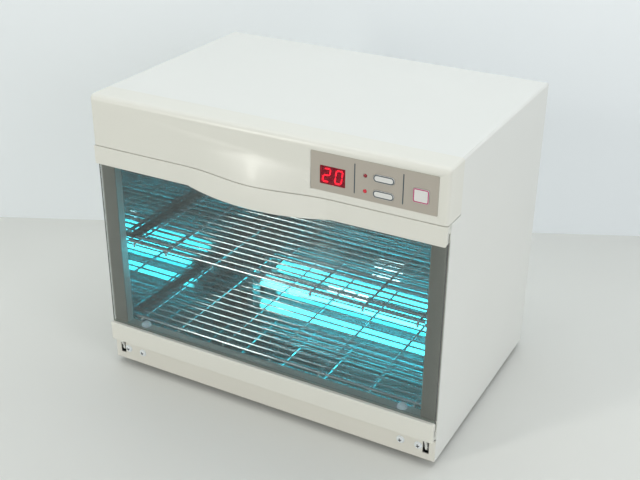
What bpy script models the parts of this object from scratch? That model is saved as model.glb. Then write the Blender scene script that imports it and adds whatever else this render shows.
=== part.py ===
# Tabletop ultraviolet sterilizer with a drop-down acrylic door and two wire racks.
# Units are metres, +Z is up and the front faces -Y.
# The origin lies under the middle of the bounding box, on the surface the feet stand on.

import math

import bmesh
import bpy
from mathutils import Matrix, Vector

# Overall sizes
body_width = 0.440
body_depth = 0.300
body_height = 0.355
foot_height = 0.007
nose_depth = 0.0135

# Gaps and allowances
seat_gap = 0.0003
seam_gap = 0.0010
cut_overrun = 0.002
running_clearance = 0.0003
merge_distance = 0.00005

# Reference planes
left_face = -body_width / 2
right_face = body_width / 2
front_plane = -(body_depth - nose_depth) / 2
rear_plane = front_plane + body_depth
base_z = foot_height
top_z = base_z + body_height

# Sheet metal
sheet = 0.0010
cover_bend_radius = 0.003
skirt_sheet = 0.0012
liner_sheet = 0.0008

# Door: two moulded rails on a sheet of tinted acrylic
door_thickness = 0.010
door_bottom_rise = 0.0305
bottom_rail_height = 0.0248
top_rail_height = 0.0226
acrylic_thickness = 0.003
acrylic_setback = 0.005
acrylic_side_inset = 0.001
acrylic_rail_hold = 0.0135
rail_edge_radius = 0.0012
top_rail_corner_radius = 0.006
bottom_rail_corner_radius = 0.003

# Handle nose: it swells out of the fascia and the door's top rail, most at the rail's lower edge
nose_panel_overlap = 0.0233
nose_rise = 0.0555
nose_rise_power = 0.8
nose_dip = 0.0034
nose_wall = 0.0024
nose_station_count = 16
nose_level_count = 5
finger_recess_half_width = 0.060
finger_recess_height = 0.0150

# Hinge under the door
pivot_setback = 0.013
pivot_rise = 0.0155
pivot_pin_radius = 0.0020
tongue_side_inset = 0.0106
tongue_thickness = 0.0025
tongue_eye_radius = 0.0042
tongue_arm_width = 0.0052
tongue_insert = 0.0070
bracket_sheet = 0.0015
bracket_ear_gap = 0.0040
bracket_inner_inset = 0.049
bracket_height = 0.0180
bracket_ear_depth = 0.0105

# Skirt under the door
skirt_setback = 0.0078
skirt_bottom_rise = 0.0013
skirt_top_rise = 0.0287
skirt_return_depth = 0.0126
slot_width = 0.0076
slot_bottom_rise = 0.0093
screw_rise = 0.0173
screw_outer_inset = 0.0195
screw_inner_inset = 0.0413
screw_head_radius = 0.0041
screw_head_height = 0.0023
screw_shank_radius = 0.0019
screw_shank_length = 0.0042

# Front frame: the painted flange behind the acrylic, with its sill and jambs
frame_flange_width = 0.0197
frame_head_height = 0.019
frame_top_gap = 0.0025
opening_bottom_rise = 0.055
frame_bottom_rise = 0.032
frame_return_depth = 0.0119
bumper_radius = 0.0060
bumper_height = 0.0056
bumper_jamb_gap = 0.0248

# Chamber liner: polished stainless box that reaches down behind the sill
chamber_over_jamb = 0.0012
chamber_over_opening = 0.004
chamber_front = 0.0233
chamber_back_space = 0.037

# Fascia
fascia_height = 0.0605
fascia_return = 0.034
fascia_wall = 0.0024
fascia_top_radius = 0.007
fascia_corner_radius = 0.0045

# Control panel
panel_width = 0.1415
panel_height = 0.0422
panel_side_inset = 0.0118
panel_top_inset = 0.0099
panel_plate_thickness = 0.0005
panel_corner_radius = 0.0006
window_width = 0.0287
window_height = 0.0197
window_thickness = 0.0008
window_proud = 0.0002
window_ledge = 0.0010
window_across = 0.0254
window_up = 0.0180
led_across = 0.0623
led_radius = 0.0020
led_proud = 0.0006
led_body_length = 0.0050
led_stem_radius = 0.0009
mode_key_across = 0.0831
mode_key_upper_up = 0.0267
mode_key_lower_up = 0.0098
mode_key_width = 0.0230
mode_key_height = 0.0080
mode_key_radius = 0.0039
power_key_across = 0.1235
power_key_up = 0.0182
power_key_width = 0.0170
power_key_height = 0.0150
power_key_radius = 0.0024
key_proud = 0.0009
key_clearance = 0.0004
key_flange_lip = 0.0010
key_flange_thickness = 0.0010
key_stem_radius = 0.0015
key_stem_length = 0.0010
key_travel = 0.0005

# Control board behind the panel
board_setback = 0.0100
board_thickness = 0.0016
board_margin = 0.0045
boss_radius = 0.0025
boss_inset = 0.0035
boss_offset = 0.0505
display_module_width = 0.0250
display_module_height = 0.0180
display_module_gap = 0.0005
switch_size = 0.0060
switch_body_height = 0.0035
switch_button_radius = 0.0016
switch_key_gap = 0.0007

# Racks
wire_radius = 0.00125
front_wire_radius = 0.0017
bar_radius = 0.0015
wire_overlap_share = 0.70
rack_side_gap = 0.0060
rack_back_gap = 0.006
wire_pitch = 0.0128
bar_pitch = 0.0655
bar_count = 5
upper_bar_shift = -0.0090
lower_bar_shift = 0.0
upper_hook_drop = 0.0050
lower_hook_drop = 0.0028
side_bar_inset = 0.0085
rack_front_setback = 0.0245
upper_rack_setback = 0.0206
upper_rack_rise = 0.168
lower_rack_rise = 0.0605

# Ledges that carry the racks
ledge_width = 0.0095
ledge_height = 0.0080
ledge_sheet = 0.0010
ledge_front = 0.032
ledge_back_gap = 0.009

# Lamp
lamp_radius = 0.00775
lamp_end_space = 0.0575
lamp_cap_length = 0.009
lamp_pin_radius = 0.0011
lamp_pin_length = 0.0045
lamp_pin_spacing = 0.0047
lamp_back_gap = 0.023
lamp_rise = 0.0215
holder_thickness = 0.0100
holder_width = 0.0200
holder_over_lamp = 0.0115
holder_foot_length = 0.0240
holder_foot_height = 0.0040

# Catches, strikes and the door sensor along the frame's head
catch_side_inset = 0.070
catch_width = 0.0160
catch_height = 0.0090
catch_depth = 0.0110
catch_drop = 0.009
strike_width = 0.0180
strike_thickness = 0.0012
sensor_x = 0.040
sensor_width = 0.0240
sensor_height = 0.0080
sensor_depth = 0.0060

# Ballast in the space over the chamber
ballast_x = -0.080
ballast_setback = 0.150
ballast_length = 0.150
ballast_width = 0.040
ballast_height = 0.028
ballast_ear = 0.012
ballast_ear_thickness = 0.0015

# Base, back and feet
pan_flange = 0.012
pan_front = 0.0106
rear_inset = 0.002
vent_count = 10
vent_pitch = 0.012
vent_width = 0.003
vent_height = 0.028
vent_drop = 0.037
inlet_side_inset = 0.070
inlet_rise = 0.040
inlet_width = 0.0270
inlet_height = 0.0200
inlet_flange_lip = 0.0045
inlet_flange_thickness = 0.0016
inlet_depth = 0.0190
inlet_wall = 0.0020
inlet_recess_depth = 0.0150
blade_width = 0.0040
blade_thickness = 0.0020
blade_length = 0.0085
blade_spacing = 0.0070
foot_radius = 0.0100
foot_tip_radius = 0.0085
foot_inset_x = 0.030
foot_front_setback = 0.030
foot_rear_inset = 0.028

# Facet counts
round_segments = 24
small_segments = 12
fillet_segments = 4

# Heights, widths and depths that several pieces share, worked out from the sizes above
fascia_bottom = top_z - fascia_height
rail_bottom = fascia_bottom - seam_gap - top_rail_height
nose_bottom = rail_bottom
nose_top = nose_bottom + nose_rise
frame_top = fascia_bottom - frame_top_gap
opening_top = frame_top - frame_head_height
chamber_top = opening_top + chamber_over_opening
catch_z = frame_top - catch_drop
opening_half_width = body_width / 2 - frame_flange_width
chamber_half_width = opening_half_width + chamber_over_jamb
rack_half_width = chamber_half_width - rack_side_gap
tongue_x = body_width / 2 - tongue_side_inset
bracket_inner_x = body_width / 2 - bracket_inner_inset
screw_outer_x = body_width / 2 - screw_outer_inset
screw_inner_x = body_width / 2 - screw_inner_inset
catch_x = body_width / 2 - catch_side_inset
bumper_x = opening_half_width - bumper_jamb_gap
lamp_glass_length = 2 * (chamber_half_width - lamp_end_space)
panel_left = right_face - panel_side_inset - panel_width
panel_bottom = top_z - panel_top_inset - panel_height
nose_half_width = panel_left + nose_panel_overlap
chamber_back = body_depth - chamber_back_space
ledge_length = chamber_back - ledge_front - ledge_back_gap
wire_count = int((chamber_back - rack_front_setback - rack_back_gap) / wire_pitch)
door_back = front_plane + door_thickness
frame_front = door_back + seat_gap
frame_back = frame_front + sheet
inner_half_width = body_width / 2 - sheet - seat_gap
pivot_y = front_plane + pivot_setback
pivot_z = base_z + pivot_rise
fascia_inner = front_plane + fascia_wall
recess_floor = front_plane + panel_plate_thickness + seat_gap
board_front = front_plane + board_setback
liner_floor = base_z + sheet + seat_gap + liner_sheet
rack_axis_step = (wire_radius + bar_radius) * wire_overlap_share


def fresh_scene():
    for old in list(bpy.data.objects):
        bpy.data.objects.remove(old, do_unlink=True)
    parts = bpy.data.collections.new("uv_sterilizer")
    cutters = bpy.data.collections.new("cutters")
    bpy.context.scene.collection.children.link(parts)
    bpy.context.scene.collection.children.link(cutters)
    return parts, cutters


parts_collection, cutter_collection = fresh_scene()


# Materials

def make_material(name, colour, roughness, metallic=0.0, alpha=1.0, emission=0.0):
    made = bpy.data.materials.new(name)
    made.use_nodes = True
    shader = made.node_tree.nodes["Principled BSDF"]
    shader.inputs["Base Color"].default_value = (*colour, 1.0)
    shader.inputs["Roughness"].default_value = roughness
    shader.inputs["Metallic"].default_value = metallic
    shader.inputs["Alpha"].default_value = alpha
    if emission > 0.0:
        shader.inputs["Emission Color"].default_value = (*colour, 1.0)
        shader.inputs["Emission Strength"].default_value = emission
    return made


painted_steel = make_material("painted_steel", (0.84, 0.83, 0.78), 0.45)
cream_plastic = make_material("cream_plastic", (0.80, 0.78, 0.70), 0.35)
tinted_acrylic = make_material("tinted_acrylic", (0.20, 0.36, 0.38), 0.05, alpha=0.4)
mirror_steel = make_material("mirror_steel", (0.62, 0.66, 0.66), 0.12, metallic=1.0)
chrome_wire = make_material("chrome_wire", (0.80, 0.81, 0.82), 0.15, metallic=1.0)
lamp_glass = make_material("lamp_glass", (0.25, 0.95, 1.0), 0.10, emission=2.0)
cap_aluminium = make_material("cap_aluminium", (0.75, 0.76, 0.77), 0.30, metallic=1.0)
holder_plastic = make_material("holder_plastic", (0.86, 0.88, 0.86), 0.40)
panel_film = make_material("panel_film", (0.50, 0.46, 0.41), 0.40)
display_filter = make_material("display_filter", (0.45, 0.02, 0.05), 0.15)
led_red = make_material("led_red", (0.75, 0.03, 0.04), 0.20)
key_white = make_material("key_white", (0.88, 0.87, 0.86), 0.35)
board_green = make_material("board_green", (0.05, 0.25, 0.12), 0.50)
black_plastic = make_material("black_plastic", (0.03, 0.03, 0.03), 0.45)
zinc_steel = make_material("zinc_steel", (0.66, 0.67, 0.68), 0.35, metallic=1.0)
white_screw = make_material("white_screw", (0.85, 0.85, 0.83), 0.30)
black_rubber = make_material("black_rubber", (0.04, 0.04, 0.04), 0.80)
white_rubber = make_material("white_rubber", (0.82, 0.84, 0.85), 0.50)


# Building blocks

def finish_mesh(shape, name):
    bmesh.ops.recalc_face_normals(shape, faces=shape.faces)
    mesh = bpy.data.meshes.new(name)
    shape.to_mesh(mesh)
    shape.free()
    return mesh


def add_part(name, mesh, finish, location=(0.0, 0.0, 0.0), smooth=False):
    piece = bpy.data.objects.new(name, mesh)
    parts_collection.objects.link(piece)
    mesh.materials.append(finish)
    piece.location = location
    if smooth:
        mesh.shade_smooth()
        mesh.set_sharp_from_angle(angle=math.radians(35))
    return piece


def add_cutter(name, mesh, location=(0.0, 0.0, 0.0)):
    tool = bpy.data.objects.new(name, mesh)
    cutter_collection.objects.link(tool)
    tool.location = location
    tool.hide_render = True
    tool.display_type = "WIRE"
    return tool


def put_box(shape, low, high):
    centre = (Vector(low) + Vector(high)) / 2
    size = Vector(high) - Vector(low)
    return bmesh.ops.create_cube(shape, size=1.0, matrix=Matrix.LocRotScale(centre, None, size))


def put_cylinder(shape, start, end, radius, segments=small_segments, end_radius=None):
    start = Vector(start)
    along = Vector(end) - start
    turn = along.to_track_quat("Z", "Y")
    return bmesh.ops.create_cone(
        shape,
        cap_ends=True,
        segments=segments,
        radius1=radius,
        radius2=radius if end_radius is None else end_radius,
        depth=along.length,
        matrix=Matrix.LocRotScale(start + along / 2, turn, None),
    )


def boxes_mesh(name, corner_pairs):
    shape = bmesh.new()
    for low, high in corner_pairs:
        put_box(shape, low, high)
    return finish_mesh(shape, name)


def cylinders_mesh(name, runs, segments=small_segments):
    shape = bmesh.new()
    for start, end, radius in runs:
        put_cylinder(shape, start, end, radius, segments)
    return finish_mesh(shape, name)


def box_part(name, low, high, finish):
    centre = (Vector(low) + Vector(high)) / 2
    mesh = boxes_mesh(name, [(Vector(low) - centre, Vector(high) - centre)])
    return add_part(name, mesh, finish, centre)


def boolean(piece, tool, operation):
    step = piece.modifiers.new(tool.name, "BOOLEAN")
    step.operation = operation
    step.solver = "EXACT"
    step.object = tool
    return step


def cut(piece, name, mesh, location=(0.0, 0.0, 0.0)):
    return boolean(piece, add_cutter(name, mesh, location), "DIFFERENCE")


def fuse(piece, name, mesh, location=(0.0, 0.0, 0.0)):
    return boolean(piece, add_cutter(name, mesh, location), "UNION")


def round_edges(piece, width, segments=fillet_segments, angle=math.radians(40)):
    step = piece.modifiers.new("round_edges", "BEVEL")
    step.width = width
    step.segments = segments
    step.limit_method = "ANGLE"
    step.angle_limit = angle
    return step


def weighted_bevel(piece, width, segments=fillet_segments):
    step = piece.modifiers.new("weighted_bevel", "BEVEL")
    step.width = width
    step.segments = segments
    step.limit_method = "WEIGHT"
    return step


def wall(piece, thickness):
    step = piece.modifiers.new("wall", "SOLIDIFY")
    step.thickness = thickness
    step.offset = -1.0
    step.use_even_offset = True
    return step


def turned_part(name, profile, finish, location, turn=None, steps=round_segments):
    # The profile runs down the outer side, from the top of the axis to its foot.
    mesh = bpy.data.meshes.new(name)
    points = [(radius, 0.0, height) for radius, height in profile]
    mesh.from_pydata(points, [(i, i + 1) for i in range(len(points) - 1)], [])
    piece = add_part(name, mesh, finish, location)
    if turn is not None:
        piece.rotation_euler = turn
    step = piece.modifiers.new("turn", "SCREW")
    step.axis = "Z"
    step.steps = steps
    step.render_steps = steps
    step.use_merge_vertices = True
    step.merge_threshold = merge_distance
    step.use_smooth_shade = True
    return piece


def rounded_plate_mesh(name, width, height, depth, radius, segments=fillet_segments):
    # A plate that faces -Y, centred on its own middle, with its four corners rounded.
    shape = bmesh.new()
    put_box(shape, (-width / 2, -depth / 2, -height / 2), (width / 2, depth / 2, height / 2))
    upright = [edge for edge in shape.edges if edge_runs_along(edge, 1)]
    bmesh.ops.bevel(shape, geom=upright, offset=radius, segments=segments, profile=0.5, affect="EDGES")
    return finish_mesh(shape, name)


def edge_runs_along(edge, axis):
    along = edge.verts[1].co - edge.verts[0].co
    return abs(along[axis]) > along.length * 0.999


def attach(piece, empty):
    piece.parent = empty
    piece.location = piece.location - empty.location
    return piece


def add_pivot(name, location):
    pivot = bpy.data.objects.new(name, None)
    parts_collection.objects.link(pivot)
    pivot.location = location
    pivot.empty_display_size = tongue_eye_radius
    return pivot


# Handle nose, shared by the fascia and the door's top rail

def nose_swell(x, z):
    if abs(x) >= nose_half_width or z >= nose_top:
        return 0.0
    # Up at the seam the swell runs out softly to the sides. Along the lower edge it is an arch
    # that starts at a kink, and in between it changes from one to the other.
    soft = (1 + math.cos(math.pi * x / nose_half_width)) / 2
    arch = 1 - (x / nose_half_width) ** 2
    arch_share = min(max(1 - (z - nose_bottom) / top_rail_height, 0.0), 1.0)
    across = soft + arch_share * (arch - soft)
    down = min((nose_top - z) / (nose_top - nose_bottom), 1.0)
    return nose_depth * across * math.sin(math.pi / 2 * down ** nose_rise_power)


def slice_for_nose(shape, z_low, z_high, half_width, level_count):
    for i in range(nose_station_count + 1):
        station = half_width * (2 * i / nose_station_count - 1)
        slice_shape(shape, (station, 0.0, 0.0), (1.0, 0.0, 0.0))
    for i in range(1, level_count):
        level = z_low + (z_high - z_low) * i / level_count
        slice_shape(shape, (0.0, 0.0, level), (0.0, 0.0, 1.0))


def slice_shape(shape, point, normal):
    everything = list(shape.verts) + list(shape.edges) + list(shape.faces)
    bmesh.ops.bisect_plane(shape, geom=everything, dist=merge_distance, plane_co=point, plane_no=normal)


def push_nose_out(shape, face_y, shrink=0.0):
    moved = set()
    for vertex in shape.verts:
        if abs(vertex.co.y - face_y) < merge_distance:
            swell = nose_swell(vertex.co.x, vertex.co.z)
            if vertex.co.z < nose_bottom + merge_distance:
                vertex.co.z -= nose_dip * swell / nose_depth
            vertex.co.y -= swell - shrink
            if swell > 0.0:
                moved.add(vertex)
    curved = [face for face in shape.faces if not moved.isdisjoint(face.verts)]
    bmesh.ops.triangulate(shape, faces=curved)


def weigh_edges(shape, choose):
    layer = shape.edges.layers.float.new("bevel_weight_edge")
    for edge in shape.edges:
        middle = (edge.verts[0].co + edge.verts[1].co) / 2
        edge[layer] = choose(edge, middle)


# Outer shell

def make_outer_cover():
    shape = bmesh.new()
    low = (left_face, door_back + seat_gap, base_z)
    high = (right_face, rear_plane, top_z)
    put_box(shape, low, high)
    open_sides = [face for face in shape.faces if abs(face.normal.y) > 0.9 or face.normal.z < -0.9]
    bmesh.ops.delete(shape, geom=open_sides, context="FACES")
    weigh_edges(shape, lambda edge, middle: 1.0 if len(edge.link_faces) == 2 else 0.0)
    cover = add_part("outer_cover", finish_mesh(shape, "outer_cover"), painted_steel)
    weighted_bevel(cover, cover_bend_radius)
    wall(cover, sheet)
    notch_low = (left_face - cut_overrun, front_plane, fascia_bottom - seam_gap)
    notch_high = (right_face + cut_overrun, front_plane + fascia_return + seat_gap, top_z + cut_overrun)
    cut(cover, "fascia_notch", boxes_mesh("fascia_notch", [(notch_low, notch_high)]))
    return cover


def make_rear_panel():
    back = rear_plane - rear_inset
    bottom = base_z + sheet + seat_gap
    height = top_z - sheet - seat_gap - bottom
    mesh = rounded_plate_mesh("rear_panel", 2 * inner_half_width, height, sheet, cover_bend_radius)
    panel = add_part("rear_panel", mesh, painted_steel, (0.0, back - sheet / 2, bottom + height / 2))
    vents = []
    for i in range(vent_count):
        x = vent_pitch * (i - (vent_count - 1) / 2)
        z = top_z - vent_drop
        vents.append((
            (x - vent_width / 2, back - sheet - cut_overrun, z - vent_height / 2),
            (x + vent_width / 2, back + cut_overrun, z + vent_height / 2),
        ))
    hole_half_width = inlet_width / 2 + seat_gap
    hole_half_height = inlet_height / 2 + seat_gap
    inlet_x = left_face + inlet_side_inset
    inlet_z = base_z + inlet_rise
    vents.append((
        (inlet_x - hole_half_width, back - sheet - cut_overrun, inlet_z - hole_half_height),
        (inlet_x + hole_half_width, back + cut_overrun, inlet_z + hole_half_height),
    ))
    cut(panel, "rear_openings", boxes_mesh("rear_openings", vents))
    return panel


def make_base_pan():
    shape = bmesh.new()
    back = rear_plane - rear_inset - sheet - seat_gap
    low = (-inner_half_width, front_plane + pan_front, base_z)
    high = (inner_half_width, back, base_z + pan_flange)
    put_box(shape, low, high)
    open_sides = [face for face in shape.faces if face.normal.z > 0.9 or face.normal.y < -0.9]
    bmesh.ops.delete(shape, geom=open_sides, context="FACES")
    pan = add_part("base_pan", finish_mesh(shape, "base_pan"), zinc_steel)
    wall(pan, sheet)
    return pan


def make_power_inlet():
    outer = rear_plane - rear_inset + seat_gap
    centre = (left_face + inlet_side_inset, outer, base_z + inlet_rise)
    half_width = inlet_width / 2
    half_height = inlet_height / 2
    lip = inlet_flange_lip
    flange = rounded_plate_mesh(
        "power_inlet", inlet_width + 2 * lip, inlet_height + 2 * lip, inlet_flange_thickness, lip)
    inlet = add_part("power_inlet", flange, black_plastic,
                     (centre[0], outer + inlet_flange_thickness / 2, centre[2]))
    body = [((-half_width, -inlet_depth, -half_height), (half_width, inlet_flange_thickness / 2, half_height))]
    fuse(inlet, "inlet_body", boxes_mesh("inlet_body", body), centre)
    mouth = inlet_flange_thickness + cut_overrun
    inner_width = half_width - inlet_wall
    inner_height = half_height - inlet_wall
    recess = [((-inner_width, -inlet_recess_depth, -inner_height), (inner_width, mouth, inner_height))]
    cut(inlet, "inlet_recess", boxes_mesh("inlet_recess", recess), centre)
    blades = []
    for offset, drop in ((-blade_spacing, 0.0), (0.0, 1.0), (blade_spacing, 0.0)):
        x = offset
        z = -drop * blade_width / 2
        blades.append((
            (x - blade_thickness / 2, -inlet_recess_depth - inlet_wall / 2, z - blade_width / 2),
            (x + blade_thickness / 2, -inlet_recess_depth + blade_length, z + blade_width / 2),
        ))
    fuse(inlet, "inlet_blades", boxes_mesh("inlet_blades", blades), centre)
    return inlet


def make_feet():
    profile = [
        (0.0, foot_height - seat_gap),
        (foot_radius, foot_height - seat_gap),
        (foot_tip_radius, 0.0),
        (0.0, 0.0),
    ]
    front = front_plane + foot_front_setback
    back = rear_plane - foot_rear_inset
    for side, x in (("left", left_face + foot_inset_x), ("right", right_face - foot_inset_x)):
        for end, y in (("front", front), ("rear", back)):
            turned_part(f"foot_{end}_{side}", profile, black_rubber, (x, y, 0.0))


# Front frame, sill bumpers and chamber liner

def make_front_frame():
    low = (-inner_half_width, frame_front, base_z + frame_bottom_rise)
    high = (inner_half_width, frame_back, frame_top)
    frame = box_part("front_frame", low, high, cream_plastic)
    frame.data.materials[0] = painted_steel
    opening_low_z = base_z + opening_bottom_rise
    opening_high_z = opening_top
    sleeve = [(
        (-opening_half_width - sheet, frame_back - sheet / 2, opening_low_z - sheet),
        (opening_half_width + sheet, frame_front + frame_return_depth, opening_high_z + sheet),
    )]
    fuse(frame, "frame_sleeve", boxes_mesh("frame_sleeve", sleeve))
    opening = [(
        (-opening_half_width, frame_front - cut_overrun, opening_low_z),
        (opening_half_width, frame_front + frame_return_depth + cut_overrun, opening_high_z),
    )]
    for x in (-catch_x, catch_x):
        opening.append((
            (x - catch_width / 2 - seat_gap, frame_front - cut_overrun, catch_z - catch_height / 2 - seat_gap),
            (x + catch_width / 2 + seat_gap, frame_back + cut_overrun, catch_z + catch_height / 2 + seat_gap),
        ))
    cut(frame, "frame_openings", boxes_mesh("frame_openings", opening))
    return frame


def make_sill_bumpers():
    dome = []
    for i in range(fillet_segments + 1):
        angle = math.pi / 2 * i / fillet_segments
        dome.append((bumper_radius * math.sin(angle), bumper_height * math.cos(angle)))
    dome.append((0.0, 0.0))
    y = frame_back + (frame_return_depth - sheet) / 2
    z = base_z + opening_bottom_rise + seat_gap
    for side, x in (("left", -bumper_x), ("right", bumper_x)):
        turned_part(f"sill_bumper_{side}", dome, white_rubber, (x, y, z), steps=16)


def make_chamber_liner():
    shape = bmesh.new()
    sill_z = base_z + opening_bottom_rise - sheet
    low = (-chamber_half_width, front_plane + chamber_front, liner_floor)
    high = (chamber_half_width, front_plane + chamber_back, chamber_top)
    put_box(shape, low, high)
    slice_shape(shape, (0.0, 0.0, sill_z), (0.0, 0.0, 1.0))
    mouth = []
    for face in shape.faces:
        if face.normal.y < -0.9 and face.calc_center_median().z > sill_z:
            mouth.append(face)
    bmesh.ops.delete(shape, geom=mouth, context="FACES")
    liner = add_part("chamber_liner", finish_mesh(shape, "chamber_liner"), mirror_steel)
    step = wall(liner, liner_sheet)
    step.offset = 1.0
    return liner


def make_rack_ledges():
    for level, rise in (("upper", upper_rack_rise), ("lower", lower_rack_rise)):
        shelf_top = base_z + rise - wire_radius - seat_gap
        front = front_plane + ledge_front
        for side, sign in (("left", -1), ("right", 1)):
            wall_x = sign * (chamber_half_width - seat_gap)
            inner_x = wall_x - sign * ledge_width
            low = (min(wall_x, inner_x), front, shelf_top - ledge_sheet)
            high = (max(wall_x, inner_x), front + ledge_length, shelf_top)
            ledge = box_part(f"rack_ledge_{level}_{side}", low, high, mirror_steel)
            upright_x = wall_x - sign * ledge_sheet
            upright = [(
                (min(wall_x, upright_x), front, shelf_top - ledge_sheet / 2),
                (max(wall_x, upright_x), front + ledge_length, shelf_top + ledge_height),
            )]
            name = f"ledge_upright_{level}_{side}"
            fuse(ledge, name, boxes_mesh(name, upright))


# Racks

def wire_runs_mesh(name, paths, radius):
    # Each path is one wire. The curve is turned into a mesh so that wires can be welded together.
    curve = bpy.data.curves.new(name, "CURVE")
    curve.dimensions = "3D"
    curve.bevel_depth = radius
    curve.bevel_resolution = 1
    curve.use_fill_caps = True
    for path in paths:
        spline = curve.splines.new("POLY")
        spline.points.add(len(path) - 1)
        for point, place in zip(spline.points, path):
            point.co = (*place, 1.0)
    carrier = bpy.data.objects.new(name, curve)
    parts_collection.objects.link(carrier)
    bpy.context.view_layer.update()
    solved = carrier.evaluated_get(bpy.context.evaluated_depsgraph_get())
    mesh = bpy.data.meshes.new_from_object(solved)
    bpy.data.objects.remove(carrier, do_unlink=True)
    shape = bmesh.new()
    shape.from_mesh(mesh)
    bmesh.ops.remove_doubles(shape, verts=shape.verts, dist=merge_distance)
    bpy.data.meshes.remove(mesh)
    return finish_mesh(shape, name)


def make_rack(name, rise, setback, hook_drop, bar_shift):
    # The rack's own origin is the middle of its front wire.
    origin = (0.0, front_plane + setback, base_z + rise)
    back = wire_pitch * wire_count
    bar_z = -rack_axis_step
    bar_xs = [bar_shift + bar_pitch * (i - (bar_count - 1) / 2) for i in range(bar_count)]
    side_x = rack_half_width - side_bar_inset
    bars = []
    for x in [-side_x, *bar_xs, side_x]:
        bars.append([
            (x, -bar_radius, bar_z - hook_drop),
            (x, -bar_radius, bar_z),
            (x, back + bar_radius, bar_z),
        ])
    rack = add_part(name, wire_runs_mesh(name, bars, bar_radius), chrome_wire, origin)
    wires = []
    for i in range(1, wire_count + 1):
        y = wire_pitch * i
        wires.append([(-rack_half_width, y, 0.0), (rack_half_width, y, 0.0)])
    fuse(rack, f"{name}_wires", wire_runs_mesh(f"{name}_wires", wires, wire_radius), origin)
    front = [[(-rack_half_width, 0.0, 0.0), (rack_half_width, 0.0, 0.0)]]
    fuse(rack, f"{name}_front", wire_runs_mesh(f"{name}_front", front, front_wire_radius), origin)
    return rack


# Lamp

def make_lamp():
    y = front_plane + chamber_back - lamp_back_gap
    z = base_z + lamp_rise
    half = lamp_glass_length / 2
    round_end = lamp_radius / 4
    profile = [(0.0, half)]
    profile.append((lamp_radius - round_end, half))
    profile.append((lamp_radius, half - round_end))
    profile.append((lamp_radius, round_end - half))
    profile.append((lamp_radius - round_end, -half))
    profile.append((0.0, -half))
    along_x = (0.0, math.pi / 2, 0.0)
    turned_part("lamp_tube", profile, lamp_glass, (0.0, y, z), along_x)
    for side, sign in (("left", -1), ("right", 1)):
        start_x = sign * (half + seat_gap)
        end_x = start_x + sign * lamp_cap_length
        mesh = cylinders_mesh(f"lamp_cap_{side}", [
            ((0.0, 0.0, 0.0), (end_x - start_x, 0.0, 0.0), lamp_radius),
        ], round_segments)
        cap = add_part(f"lamp_cap_{side}", mesh, cap_aluminium, (start_x, y, z))
        pins = []
        for offset in (-lamp_pin_spacing / 2, lamp_pin_spacing / 2):
            root = end_x - start_x - sign * lamp_pin_radius
            tip = end_x - start_x + sign * lamp_pin_length
            pins.append(((root, offset, 0.0), (tip, offset, 0.0), lamp_pin_radius))
        fuse(cap, f"lamp_pins_{side}", cylinders_mesh(f"lamp_pins_{side}", pins), (start_x, y, z))
        make_lampholder(side, sign, end_x, y, z)


def make_lampholder(side, sign, cap_end_x, y, z):
    # A socket post on a foot, rounded over the lamp, with a slot that takes the two pins.
    face_x = cap_end_x + sign * seat_gap
    back_x = face_x + sign * holder_thickness
    floor_z = liner_floor + seat_gap
    crown_z = z + holder_over_lamp - holder_width / 2
    low = (min(face_x, back_x), y - holder_width / 2, floor_z)
    high = (max(face_x, back_x), y + holder_width / 2, crown_z)
    post = box_part(f"lampholder_{side}", low, high, holder_plastic)
    crown = [((face_x, y, crown_z), (back_x, y, crown_z), holder_width / 2)]
    fuse(post, f"holder_crown_{side}", cylinders_mesh(f"holder_crown_{side}", crown, round_segments))
    foot_x = back_x + sign * (holder_foot_length - holder_thickness)
    start_x = back_x - sign * holder_thickness / 2
    foot = [(
        (min(start_x, foot_x), y - holder_width / 2, floor_z),
        (max(start_x, foot_x), y + holder_width / 2, floor_z + holder_foot_height),
    )]
    fuse(post, f"holder_foot_{side}", boxes_mesh(f"holder_foot_{side}", foot))
    slot_end_x = face_x + sign * (lamp_pin_length + running_clearance)
    slot_start_x = face_x - sign * cut_overrun
    half_slot = lamp_pin_spacing / 2 + lamp_pin_radius + running_clearance
    slot = [(
        (min(slot_start_x, slot_end_x), y - half_slot, z - lamp_pin_radius - running_clearance),
        (max(slot_start_x, slot_end_x), y + half_slot, z + lamp_pin_radius + running_clearance),
    )]
    cut(post, f"holder_slot_{side}", boxes_mesh(f"holder_slot_{side}", slot))


# Fascia and control panel

def key_places():
    # Name, place across and up from the panel's lower left corner, width, height, corner radius
    return (
        ("mode_key_upper", mode_key_across, mode_key_upper_up, mode_key_width, mode_key_height,
         mode_key_radius),
        ("mode_key_lower", mode_key_across, mode_key_lower_up, mode_key_width, mode_key_height,
         mode_key_radius),
        ("power_key", power_key_across, power_key_up, power_key_width, power_key_height,
         power_key_radius),
    )


def panel_holes(prefix, piece, window_trim):
    # The holes for the window, the lamps and the keys, which pass through the plate and the fascia.
    depth = 2 * (fascia_wall + cut_overrun)
    width = window_width + 2 * window_trim
    height = window_height + 2 * window_trim
    mesh = rounded_plate_mesh(f"{prefix}_window", width, height, depth, panel_corner_radius, 1)
    cut(piece, f"{prefix}_window", mesh, 
        (panel_left + window_across, front_plane, panel_bottom + window_up))
    for name, across, up, width, height, radius in key_places():
        mesh = rounded_plate_mesh(
            f"{prefix}_{name}", width + 2 * key_clearance, height + 2 * key_clearance, depth,
            radius + key_clearance)
        cut(piece, f"{prefix}_{name}", mesh, (panel_left + across, front_plane, panel_bottom + up))
    lamps = []
    led_x = panel_left + led_across
    for up in (mode_key_upper_up, mode_key_lower_up):
        z = panel_bottom + up
        lamps.append((
            (led_x, front_plane - depth / 2, z),
            (led_x, front_plane + depth / 2, z),
            led_radius + seat_gap,
        ))
    cut(piece, f"{prefix}_lamps", cylinders_mesh(f"{prefix}_lamps", lamps, 16))


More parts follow.
